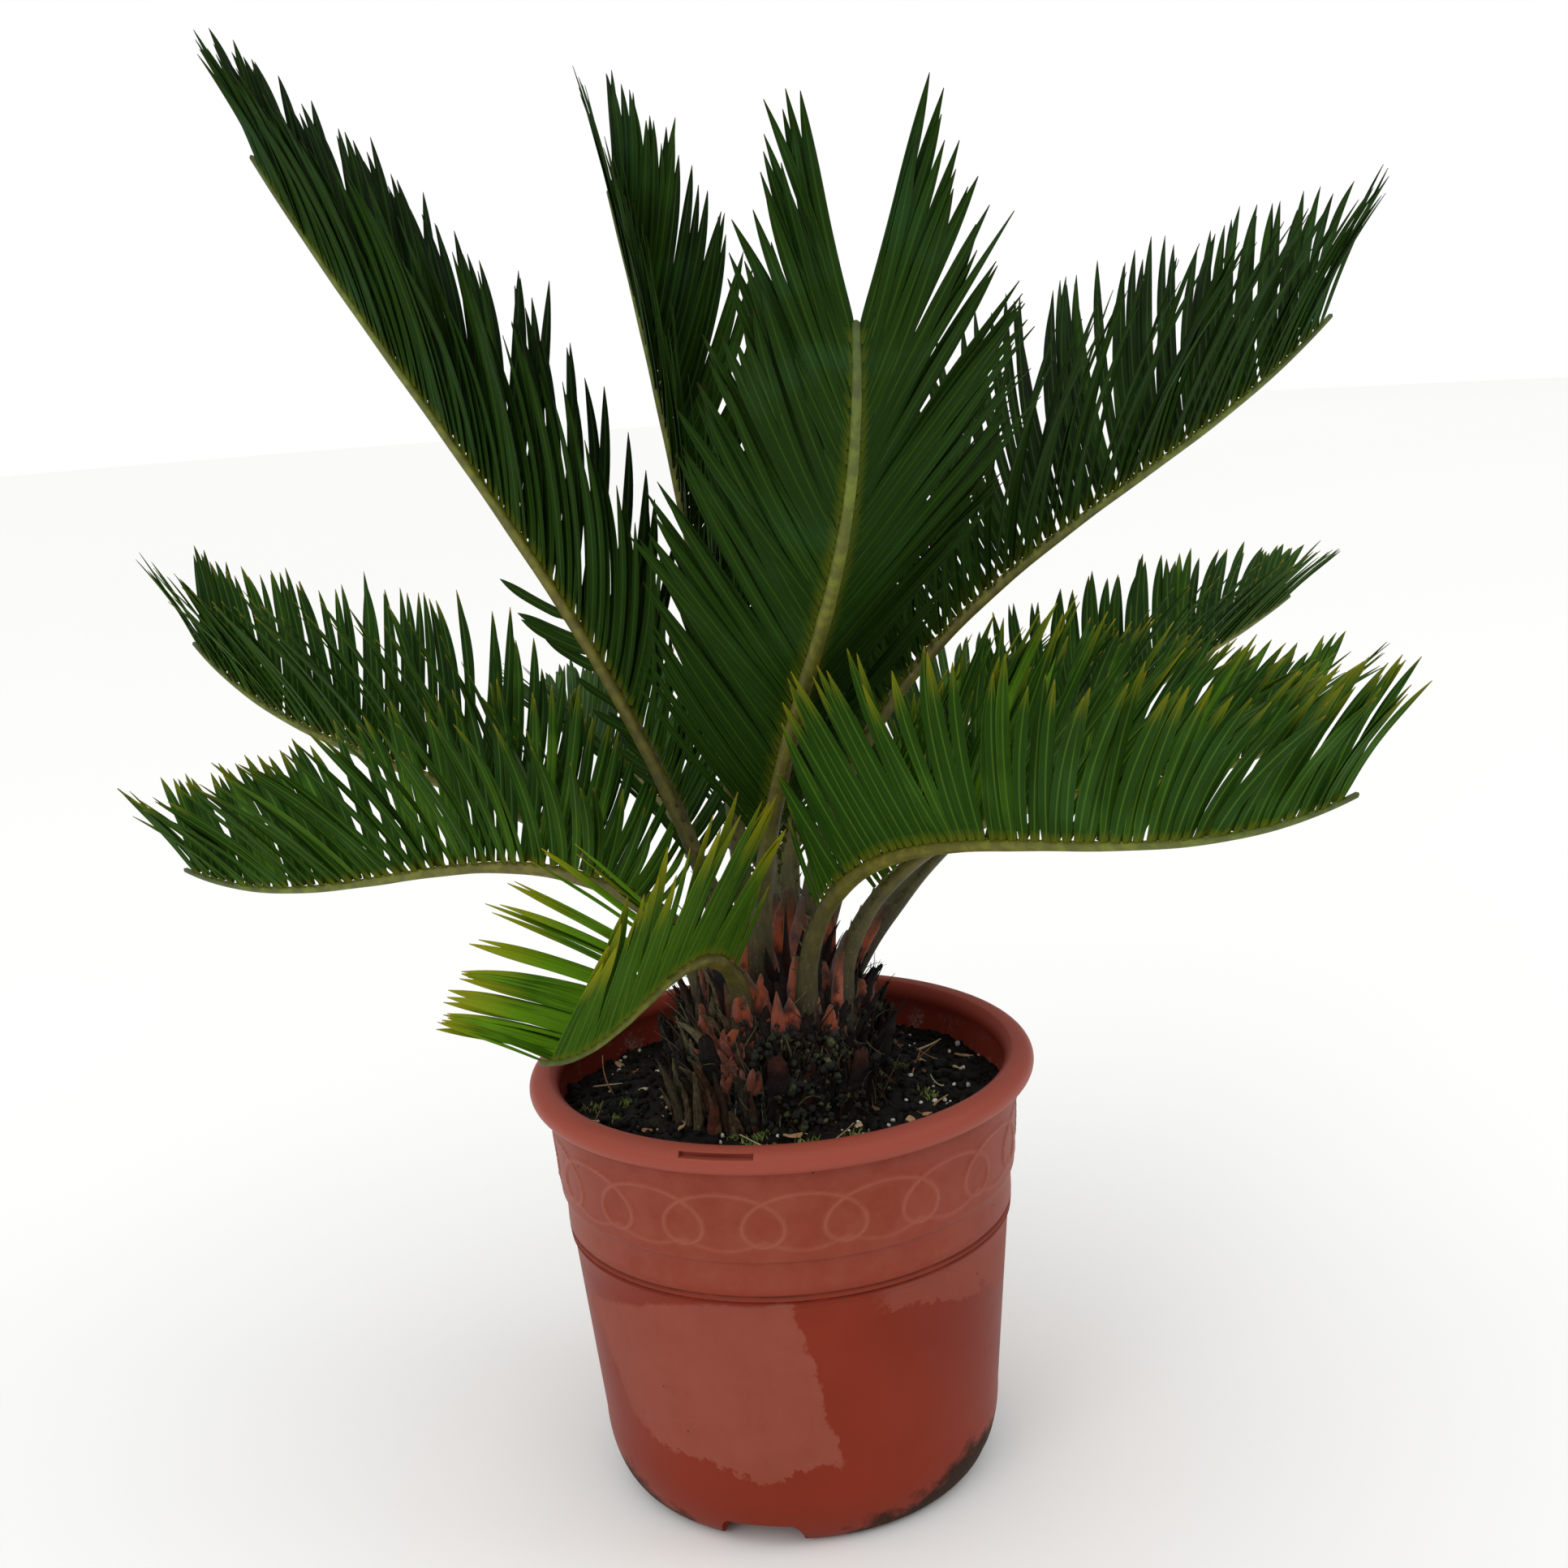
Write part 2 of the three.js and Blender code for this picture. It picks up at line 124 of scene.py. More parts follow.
def buildStudio():
    scene.view_settings.view_transform = "Standard"
    world = bpy.data.worlds.new("paperBackdrop")
    world.use_nodes = True
    scene.world = world
    tree = world.node_tree
    tree.nodes.clear()
    paper = addNode(tree, "Background", {"Color": studio["backdrop"], "Strength": 1.0})
    fill = addNode(tree, "Background", {"Color": studio["backdrop"], "Strength": studio["fill"]})
    seen = addNode(tree, "LightPath").outputs["Is Camera Ray"]
    both = addNode(tree, "MixShader", (seen, fill, paper))
    addNode(tree, "OutputWorld", {"Surface": both})
    sky = bpy.data.lights.new("overheadScrim", "SUN")
    sky.energy, sky.angle = studio["skyStrength"], studio["skySpread"] * deg
    scrim = bpy.data.objects.new("overheadScrim", sky)
    scene.collection.objects.link(scrim)
    scrim.rotation_euler = (8 * deg, -6 * deg, 0)
    for name, place, target, size, watts in studio["lamps"]:
        light = bpy.data.lights.new(name, "AREA")
        light.shape, light.size, light.energy = "DISK", size, watts
        lamp = bpy.data.objects.new(name, light)
        scene.collection.objects.link(lamp)
        lamp.location = place
        lamp.rotation_euler = (Vector(target) - Vector(place)).to_track_quat("-Z", "Y").to_euler()
    # painted studio floor: matt, pale, barely uneven
    material, tree = startMaterial("paintedStudioFloor")
    cloud = addNode(tree, "TexNoise", {"Scale": 3.0, "Detail": 3.0})
    tone = addNode(tree, "ValToRGB", (cloud,), [(0.3, "#F3F3F1"), (0.7, studio["floorColour"])])
    finishMaterial(tree, {"Base Color": tone, "Roughness": 0.85})
    count = 96
    angles = np.arange(count) * 2 * math.pi / count
    ring = np.stack([np.cos(angles), np.sin(angles), 0 * angles], 1) * studio["floorRadius"]
    points = np.vstack([np.zeros((1, 3)), ring])
    faces = np.array([[0, 1 + i, 1 + (i + 1) % count] for i in range(count)])
    floor = meshOf("studioFloor", [{"points": points, "tris": faces}], material)


def meshOf(name, parts, material):
    # parts: dicts of points (n,3), quads (m,4), tris (m,3), uv (n,2), and any per-point values by name
    mesh = bpy.data.meshes.new(name)
    quads, tris, start = [np.zeros((0, 4), int)], [np.zeros((0, 3), int)], 0
    for part in parts:
        for key, store in (("quads", quads), ("tris", tris)):
            if key in part:
                store.append(part[key] + start)
        start += len(part["points"])
    points, quads, tris = np.vstack([p["points"] for p in parts]), np.vstack(quads), np.vstack(tris)
    loops = np.concatenate([quads.ravel(), tris.ravel()])
    sizes = np.concatenate([np.full(len(quads), 4), np.full(len(tris), 3)])
    mesh.vertices.add(len(points))
    mesh.vertices.foreach_set("co", points.astype(np.float32).ravel())
    mesh.loops.add(len(loops))
    mesh.loops.foreach_set("vertex_index", loops.astype(np.int32))
    mesh.polygons.add(len(sizes))
    mesh.polygons.foreach_set("loop_start", np.concatenate([[0], np.cumsum(sizes)[:-1]]).astype(np.int32))
    mesh.update(calc_edges=True)
    if "uv" in parts[0]:
        layer = mesh.uv_layers.new(name="surfaceMap")
        layer.data.foreach_set("uv", np.vstack([p["uv"] for p in parts])[loops].astype(np.float32).ravel())
    for key in parts[0]:
        if key not in ("points", "quads", "tris", "uv"):
            values = np.concatenate([np.broadcast_to(p[key], len(p["points"])) for p in parts])
            mesh.attributes.new(key, "FLOAT", "POINT").data.foreach_set("value", values.astype(np.float32))
    mesh.polygons.foreach_set("use_smooth", np.full(len(sizes), True))
    mesh.materials.append(material)
    piece = bpy.data.objects.new(name, mesh)
    scene.collection.objects.link(piece)
    return piece


def gridFaces(rings, sides):
    # quads between closed rings of points
    j = np.arange(sides)
    i = np.arange(rings - 1)[:, None] * sides
    a, b = i + j, i + (j + 1) % sides
    return np.stack([a, b, b + sides, a + sides], -1).reshape(-1, 4)


def closedTubes(rings, uv=None, **values):
    # rings: (count, ringsPerTube, sides, 3), values: one per tube or per point. Each end closes on a point
    count, steps, sides, _ = rings.shape
    ends = np.stack([rings[:, 0].mean(1), rings[:, -1].mean(1)], 1)
    points = np.concatenate([rings.reshape(count, -1, 3), ends], 1)
    j = np.arange(sides)
    k = (j + 1) % sides
    last = (steps - 1) * sides
    fans = np.vstack([np.stack([j * 0 + steps * sides, k, j], 1),
                      np.stack([j * 0 + steps * sides + 1, last + j, last + k], 1)])
    quads = gridFaces(steps, sides)
    corner = points[0][quads]
    facing = (np.cross(corner[:, 1] - corner[:, 0], corner[:, 2] - corner[:, 0])
              * (corner.mean(1) - points[0].mean(0))).sum()
    if facing < 0:
        quads, fans = quads[:, ::-1], fans[:, ::-1]
    shift = (np.arange(count) * (steps * sides + 2))[:, None, None]
    part = {"points": points.reshape(-1, 3), "quads": (quads + shift).reshape(-1, 4),
            "tris": (fans + shift).reshape(-1, 3)}

    def withEnds(field, width):
        caps = np.stack([field[:, 0].mean(1), field[:, -1].mean(1)], 1)
        return np.concatenate([field.reshape((count, -1) + width), caps], 1).reshape((-1,) + width)
    if uv is not None:
        part["uv"] = withEnds(uv, (2,))
    for key, value in values.items():
        value = np.asarray(value, float)
        if value.ndim == 1:
            value = np.broadcast_to(value[:, None, None], (count, steps, sides))
        part[key] = withEnds(value, ())
    return part


def handOver(piece, slotName, *nodes):
    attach(piece, "root")
    if nodes:
        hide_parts(*nodes)


def unit(v):
    return v / np.maximum(np.linalg.norm(v, axis=-1, keepdims=True), 1e-12)


def smoothStep(x):
    x = np.clip(x, 0, 1)
    return x * x * (3 - 2 * x)


def lumps(points, size, seed, octaves=3):
    # smooth lumpy noise in -1..1 at each point; size is the lump's width, in the unit of the points
    shift = Vector((seed * 7.31, seed * 3.17, seed * 5.53))
    return np.array([noise.fractal(Vector(p) / size + shift, 1.0, 2.0, octaves) for p in points])


print("camera and studio")
placeCamera()
buildStudio()


plantShape = {
    "crownHeight": 250,                    # mm over the floor
    "bareShare": 0.22, "tipShare": 0.985,  # where the leaflets start and end along the stalk
    "baseRadius": 6.0, "petioleRadius": 4.2, "tipRadius": 1.4,  # mm, along the stalk
    "leafletPitch": 4.8, "leafletWidth": 5.3, "rowGap": -0.6,   # mm; the blades start inside the stalk
    "seed": 11,
}

# seat: side in degrees, radius, depth under the crown. Headings run anticlockwise from +X, the front is -90
# rise: slope at foot, middle and tip. angle: leaflets' opening at the first and last pair
# starts and ends: the first and last leaflet's share of the full length. Slopes and angles are in degrees
# sweep: turn of the heading by the tip. lift: rise of the leaflets over the frond's own plane. curl: their
# bend towards its tip. tone: 0 dark to 1 light green. yellow: how far the points have aged
# footTurn lays the first leaflets down along the stalk, and nearAngle is the left row's own opening
# the first five stand up in the middle, the others arch outwards under them
fronds = [
    dict(seat=(190, 17, 14), heading=171, sweep=-20, rise=(82, 60, 57), length=455, leaflet=112, lift=70,
         angle=(50, 20), curl=18, stray=0.45, tone=0.15, yellow=0.02, ends=0.62),
    dict(seat=(130, 18, 14), heading=134, sweep=-18, rise=(90, 80, 66), length=385, leaflet=106, lift=69,
         angle=(60, 24), curl=20, tone=0.38, yellow=0.02, ends=0.6),
    dict(seat=(250, 20, 14), heading=-66, sweep=-26, rise=(91, 46, 54), length=400, leaflet=128, lift=24,
         angle=(40, 15), curl=8, tone=0.42, yellow=0.03, ends=0.74, starts=0.8),
    dict(seat=(15, 17, 14), heading=26, sweep=-8, rise=(96, 35, 42), length=450, leaflet=126, lift=62,
         angle=(84, 42), curl=20, tone=0.34, yellow=0.02, ends=0.62),
    dict(seat=(66, 18, 14), heading=74, sweep=0, rise=(82, 62, 50), length=300, leaflet=84, lift=68,
         angle=(62, 25), curl=20, tone=0.3, yellow=0.02, ends=0.6),
    dict(seat=(200, 38, 28), heading=172, sweep=-11, rise=(105, 2, 24), length=310, leaflet=90, lift=62,
         angle=(96, 50), curl=15, tone=0.6, yellow=0.4, ends=0.6),
    dict(seat=(152, 34, 14), heading=155, sweep=-12, rise=(64, 16, 42), length=360, leaflet=96, lift=66,
         angle=(82, 42), curl=20, tone=0.4, yellow=0.3, ends=0.6),
    dict(seat=(118, 34, 14), heading=117, sweep=0, rise=(65, 17, 8), length=272, leaflet=80, lift=50,
         angle=(75, 30), curl=20, tone=0.45, yellow=0.2, ends=0.6),
    dict(seat=(245, 40, 28), heading=246, sweep=-10, rise=(118, 2, 24), length=200, leaflet=80, lift=50,
         liftLeft=68, liftRight=42, nearAngle=(112, 88), footTurn=50, broad=1.22,
         angle=(86, 30), curl=10, tone=1.0, yellow=0.9, ends=0.6),
    dict(seat=(-68, 40, 32), heading=-62, sweep=47, rise=(107, 16, 30), length=345, leaflet=102, lift=60,
         footTurn=42, angle=(88, 46), curl=15, tone=0.56, yellow=0.5, ends=0.6),
    dict(seat=(-35, 40, 24), heading=0, sweep=30, rise=(104, 12, 27), length=308, leaflet=92, lift=58,
         angle=(80, 32), curl=20, tone=0.62, yellow=0.35, ends=0.6),
    dict(seat=(28, 36, 18), heading=20, sweep=24, rise=(57, 24, 16), length=346, leaflet=80, lift=55,
         angle=(75, 30), curl=20, tone=0.5, yellow=0.25, ends=0.6),
    dict(seat=(60, 36, 18), heading=58, sweep=0, rise=(62, 18, 4), length=282, leaflet=80, lift=50,
         angle=(75, 30), curl=20, tone=0.5, yellow=0.25, ends=0.6),
    dict(seat=(88, 36, 18), heading=88, sweep=0, rise=(58, 12, -4), length=228, leaflet=76, lift=50,
         angle=(75, 30), curl=20, tone=0.5, yellow=0.25, ends=0.6),
]


def midlineOf(frond, steps=120):
    # place, along, side and above at each station of the frond's midline
    foot, middle, tip = frond["rise"]
    bend = ((tip - foot) - (middle - foot) / 0.45) / 0.55
    slope = (middle - foot) / 0.45 - bend * 0.45
    share = np.arange(steps + 1) / steps
    rise = (foot + slope * share + bend * share ** 2) * deg
    heading = (frond["heading"] + frond["sweep"] * share ** 1.5) * deg
    along = np.stack([np.cos(rise) * np.cos(heading), np.cos(rise) * np.sin(heading), np.sin(rise)], 1)
    side = np.stack([np.sin(heading), -np.cos(heading), 0 * heading], 1)
    side = unit(side - along * (side * along).sum(1, keepdims=True))
    above = np.cross(side, along)
    seatSide, radius, drop = frond["seat"]
    start = np.array([radius * math.cos(seatSide * deg), radius * math.sin(seatSide * deg),
                      plantShape["crownHeight"] - drop])
    place = start + np.vstack([np.zeros(3), np.cumsum(along[:-1], 0)]) * frond["length"] / steps

    def at(wanted):
        wanted = np.clip(wanted, 0, 1)
        return [np.stack([np.interp(wanted, share, field[:, k]) for k in range(3)], -1)
                for field in (place, along, side, above)]
    return at


def stemRadius(share):
    bare, base = plantShape["bareShare"], plantShape["baseRadius"]
    petiole, tip = plantShape["petioleRadius"], plantShape["tipRadius"]
    return np.where(share < bare, base + (petiole - base) * share / bare,
                    petiole + (tip - petiole) * (share - bare) / (1 - bare))


def leafletLength(frond, row):
    low = frond.get("starts", 0.5)
    rising = low + (1 - low) * smoothStep(row / 0.3)
    falling = 1 - (1 - frond["ends"]) * (np.clip(row - 0.3, 0, 1) / 0.7) ** 2
    return frond["leaflet"] * np.where(row < 0.3, rising, falling)


leafletForm = {
    "steps": 21,
    "thickness": 0.55, "roll": 0.75, "channel": 0.28, "keel": 0.5,   # mm: margins, groove above, keel below
    "tilt": 16, "tiltSpread": 9,                                     # blades lie over each other like slats
    "angleSpread": 1.3, "liftSpread": 3.0, "curlSpread": 4.0, "archSpread": 3.0, "twistSpread": 8.0,
    "clump": 1.3, "sag": 5.0, "wander": 2.0,                         # degrees
    # shares of the pitch, the length, the width and the tone
    "stagger": 0.22, "placeSpread": 0.12, "lengthSpread": 0.035, "widthSpread": 0.06, "toneSpread": 0.10,
    "strayLift": (-70, -35), "strayLength": 0.34, "strayShare": 0.3,
}
# across one blade, -1 to 1: nine points over the upper face, then five back along the underside
bladeSection = np.array([-1, -0.86, -0.5, -0.13, 0, 0.13, 0.5, 0.86, 1, 0.8, 0.36, 0, -0.36, -0.8])
bladeUnder = np.array([0.0] * 9 + [1.0] * 5)


def leafletRow(frond, hand, rng):
    # hand is 1 for the right row and -1 for the left one, looking out from the trunk
    form = leafletForm
    at = midlineOf(frond)
    bare, tipShare = plantShape["bareShare"], plantShape["tipShare"]
    count = int((tipShare - bare) * frond["length"] / plantShape["leafletPitch"])
    index = np.arange(count)
    row = (index + 0.5 + form["stagger"] * hand) / count + rng.normal(0, form["placeSpread"], count) / count
    row = np.clip(row, 0, 1)
    share = bare + (tipShare - bare) * row
    place, along, side, above = at(share)
    # slow drift along the row makes the leaflets stand in loose bundles
    drift = np.sin(index * 0.9 + rng.uniform(0, 6)) * 0.5 + np.sin(index * 0.37 + rng.uniform(0, 6))
    openFrom, openTo = frond.get("nearAngle", frond["angle"]) if hand < 0 else frond["angle"]
    opening = openFrom + (openTo - openFrom) * row ** 1.6
    opening = opening - frond.get("footTurn", 0) * np.exp(-(row / 0.16) ** 2)
    opening = opening + drift * form["clump"] + rng.normal(0, form["angleSpread"], count)
    lift = frond.get("liftRight" if hand > 0 else "liftLeft", frond["lift"])
    lift = lift + rng.normal(0, form["liftSpread"], count) + form["wander"] * np.sin(index * 0.53 + 2)
    curl = frond["curl"] + rng.normal(0, form["curlSpread"], count)
    length = leafletLength(frond, row) * (1 + rng.normal(0, form["lengthSpread"], count))
    # a few short leaflets near the foot stand off on the outer side of the stalk
    stray = (rng.uniform(size=count) < frond.get("stray", 0)) & (row < form["strayShare"]) & (hand > 0)
    lift = np.where(stray, rng.uniform(*form["strayLift"], count), lift)
    length = np.where(stray, length * form["strayLength"], length)
    lift, opening, curl = lift * deg, opening * deg, curl * deg
    outward = unit(side * (hand * np.cos(lift))[:, None] + above * np.sin(lift)[:, None])
    top = unit(above * np.cos(lift)[:, None] - side * (hand * np.sin(lift))[:, None])
    root = place + outward * (stemRadius(share) + plantShape["rowGap"])[:, None]

    t = np.linspace(0, 1, form["steps"]) ** 0.92
    turning = opening[:, None] - curl[:, None] * t[None]
    # tips sag away from the upper face
    arch = (rng.normal(0, form["archSpread"], count)[:, None] - form["sag"]) * deg * t[None] ** 1.5
    heading = (along[:, None] * np.cos(turning)[..., None] + outward[:, None] * np.sin(turning)[..., None])
    heading = unit(heading + top[:, None] * arch[..., None])
    stepLength = np.diff(t)[None, :, None] * length[:, None, None]
    middle = (heading[:, 1:] + heading[:, :-1]) / 2
    line = root[:, None] + np.concatenate(
        [np.zeros((count, 1, 3)), np.cumsum(middle * stepLength, 1)], 1)
    # across the blade: towards the frond's tip is positive
    normal = unit(top[:, None] - heading * (top[:, None] * heading).sum(-1, keepdims=True))
    across = unit(np.cross(heading, normal)) * -hand
    tilt = (form["tilt"] + rng.normal(0, form["tiltSpread"], count)) * deg
    twist = rng.normal(0, form["twistSpread"], count)[:, None] * deg * t[None] ** 2
    twist = tilt[:, None] * (1 - 0.3 * t[None]) + twist
    c, s = np.cos(twist)[..., None], np.sin(twist)[..., None]
    across, normal = across * c + normal * s, normal * c - across * s

    rise = smoothStep(t / 0.16)
    fall = np.clip((t - 0.62) / 0.38, 0, 1)
    width = plantShape["leafletWidth"] / 2 * (0.72 + 0.28 * rise) * (1 - fall ** 2.0) ** 0.85
    width = np.maximum(width, 0.16)[None] * (1 + rng.normal(0, form["widthSpread"], count))[:, None]
    slender = (0.82 + 0.18 * smoothStep((1 - row) * 5)) * (0.5 + 0.5 * smoothStep(row / 0.13))
    width = width * slender[:, None] * frond.get("broad", 1.0)
    u, under = bladeSection, bladeUnder
    rolled = -form["roll"] * np.abs(u) ** 2.6
    topHeight = rolled - form["channel"] * np.exp(-(u / 0.12) ** 2)
    lowHeight = rolled - form["thickness"] - form["keel"] * np.exp(-(u / 0.2) ** 2)
    fullness = 0.25 + 0.75 * (width / width.max())
    height = np.where(under > 0, lowHeight, topHeight)[None, None] * fullness[..., None]
    rings = (line[:, :, None] + across[:, :, None] * (width[..., None] * u)[..., None]
             + normal[:, :, None] * height[..., None])
    if hand > 0:     # turns the faces of this row outwards too
        rings, u, under = rings[:, :, ::-1], u[::-1], under[::-1]
    shape = rings.shape[:3]
    uv = np.stack([np.broadcast_to(u / 2 + 0.5, shape), np.broadcast_to(t[None, :, None], shape)], -1)
    tone = np.clip(frond["tone"] + rng.normal(0, form["toneSpread"], count) + 0.04 * drift, 0, 1.2)
    age = np.clip(frond["yellow"] * rng.uniform(0.5, 1.3, count), 0, 1.2)
    return closedTubes(rings * mm, uv, leafTone=tone, leafAge=age,
                       underside=np.broadcast_to(under[None, None], shape), rowPlace=row), count


def cycadLeaflet(name, colours):
    # cycad leaflet, a hard leathery blade under thick cuticle wax: dark satin green, a pale line of painted
    # highlight along the midrib and the margins, fine lengthwise veins that break the gloss into streaks, dry
    # straw-coloured point
    material, tree = startMaterial(name)
    uv = addNode(tree, "SeparateXYZ", (addNode(tree, "UVMap", uv_map="surfaceMap"),))
    across, length = uv.outputs[0], uv.outputs[1]
    tone, age, under, rowPlace = (addNode(tree, "Attribute", attribute_name=stored).outputs["Fac"]
                                  for stored in ("leafTone", "leafAge", "underside", "rowPlace"))
    place = addNode(tree, "TexCoord").outputs["Object"]
    # blotches 30 mm wide, and streaks drawn out along the blade
    blotch = addNode(tree, "TexNoise", {"Vector": place, "Scale": 32.0, "Detail": 2.0})
    streakSpace = addNode(tree, "CombineXYZ", [
        addNode(tree, "Math", (source, scale), operation="MULTIPLY")
        for source, scale in ((across, 9.0), (length, 1.6), (tone, 90.0))])
    streak = addNode(tree, "TexNoise", {"Vector": streakSpace, "Scale": 1.0, "Detail": 2.0})
    shade = tone
    for pattern, change in ((blotch, 0.16), (streak, 0.12)):
        change = addNode(tree, "MapRange", (pattern, 0.3, 0.7, -change, change))
        shade = addNode(tree, "Math", (shade, change), operation="ADD")
    blade = addNode(tree, "ValToRGB", (shade,), colours["blade"])
    # underside: duller and a little greyer
    underShare = addNode(tree, "Math", (under, 0.75), operation="MULTIPLY")
    # painted highlight: a pale line 0.6 mm wide along the midrib, and a pale margin
    off = addNode(tree, "Math", (across, 0.5), operation="SUBTRACT")
    off = addNode(tree, "Math", (off,), operation="ABSOLUTE")
    ribHighlight = addNode(tree, "MapRange", (off, 0.028, 0.085, 0.42, 0.0))
    marginHighlight = addNode(tree, "MapRange", (off, 0.42, 0.5, 0.0, 0.35))
    # the foot of the blade is yellow-green where it runs into the stalk
    foot = addNode(tree, "MapRange", (length, 0.0, 0.07, 0.75, 0.0))
    # ageing from the point down: yellow, then straw
    reach = addNode(tree, "MapRange", (age, 0.0, 1.0, 1.02, 0.55))
    patchy = addNode(tree, "MapRange", (streak, 0.3, 0.7, -0.06, 0.06))
    patchy = addNode(tree, "Math", (length, patchy), operation="ADD")
    ageing = addNode(tree, "Math", (patchy, reach), operation="SUBTRACT")
    yellow = addNode(tree, "MapRange", (ageing, 0.0, 0.42))
    point = addNode(tree, "MapRange", (length, 0.965, 0.995, 0.0, 0.8))
    # painted sheen: a thin blue-grey haze painted on some leaflets of the upper face, standing in for the
    # sheen of their wax
    paintedSheen = addNode(tree, "MapRange", (blotch, 0.5, 0.75, 0.0, colours["paintedSheenShare"]))
    paintedSheen = addNode(tree, "Math", (paintedSheen, rowPlace), operation="MULTIPLY")
    for share, colour in ((underShare, "under"), (ribHighlight, "midribHighlight"), (marginHighlight, "midribHighlight"), (foot, "foot"),
                          (yellow, "yellow"), (point, "point"), (paintedSheen, "paintedSheen")):
        blade = addNode(tree, "MixRGB", (share, blade, colours[colour]))
    rough = addNode(tree, "MapRange", (streak, 0.3, 0.7, 0.34, 0.5))
    rough = addNode(tree, "Math", (under, 0.18, rough), operation="MULTIPLY_ADD")
    # veins: 14 across the blade, 0.4 mm apart, drawn deeper than the real ones so that they show
    veins = addNode(tree, "Math", (across, 88.0), operation="MULTIPLY")
    veins = addNode(tree, "Math", (veins,), operation="SINE")
    relief = addNode(tree, "Math", (veins, 0.25, streak), operation="MULTIPLY_ADD")
    bump = addNode(tree, "Bump", {"Height": relief, "Strength": 0.35, "Distance": 0.0003})
    finishMaterial(tree, {"Base Color": blade, "Roughness": rough, "Normal": bump,
                          "IOR": 1.45, "Specular IOR Level": 0.08})
    return material


def cycadStalk():
    # cycad leaf stalk, waxy fibrous rind: olive yellow towards the tip, brown-green and scurfy at the foot,
    # fine lengthwise ridges and pale corky specks
    material, tree = startMaterial("waxyCycadStalk")
    uv = addNode(tree, "SeparateXYZ", (addNode(tree, "UVMap", uv_map="surfaceMap"),))
    place = addNode(tree, "TexCoord").outputs["Object"]
    along = addNode(tree, "Attribute", attribute_name="stalkShare").outputs["Fac"]
    space = addNode(tree, "CombineXYZ", [
        addNode(tree, "Math", (uv.outputs[axis], scale), operation="MULTIPLY")
        for axis, scale in enumerate((16.0, 30.0))])
    streak = addNode(tree, "TexNoise", {"Vector": space, "Scale": 1.0, "Detail": 3.0})
    mottle = addNode(tree, "TexNoise", {"Vector": place, "Scale": 170.0, "Detail": 4.0})
    shift = addNode(tree, "MapRange", (streak, 0.3, 0.7, -0.05, 0.05))
    where = addNode(tree, "Math", (along, shift), operation="ADD")
    colour = addNode(tree, "ValToRGB", (where,), [
        (0.0, "#1F130A"), (0.05, "#33260F"), (0.12, "#433C17"), (0.24, "#585319"), (0.42, "#716A1A"),
        (0.8, "#6E7A1E"), (1.0, "#4A5E1C")])
    dark = addNode(tree, "MapRange", (mottle, 0.42, 0.62, 0.45, 0.0))
    colour = addNode(tree, "MixRGB", (dark, colour, "#2B2A12"))
    # scurf: pale brown specks, dense on the bare foot of the stalk
    scurf = addNode(tree, "TexVoronoi", {"Vector": place, "Scale": 420.0})
    dots = addNode(tree, "MapRange", (scurf, 0.14, 0.26, 0.22, 0.0))
    near = addNode(tree, "MapRange", (along, 0.1, 0.4, 1.0, 0.15))
    dots = addNode(tree, "Math", (dots, near), operation="MULTIPLY")
    colour = addNode(tree, "MixRGB", (dots, colour, "#8A7A4E"))
    rough = addNode(tree, "MapRange", (along, 0.0, 0.3, 0.8, 0.48))
    height = addNode(tree, "Math", (streak, mottle), operation="ADD")
    bump = addNode(tree, "Bump", {"Height": height, "Strength": 0.6, "Distance": 0.0005})
    finishMaterial(tree, {"Base Color": colour, "Roughness": rough, "Normal": bump, "IOR": 1.45})
    return material


stalkForm = {
    "rings": 90, "sides": 16,
    "topFlat": 0.32,              # upper face is flattened and grooved
    "spineEvery": 8.5, "spineLength": 4.6,   # mm
}


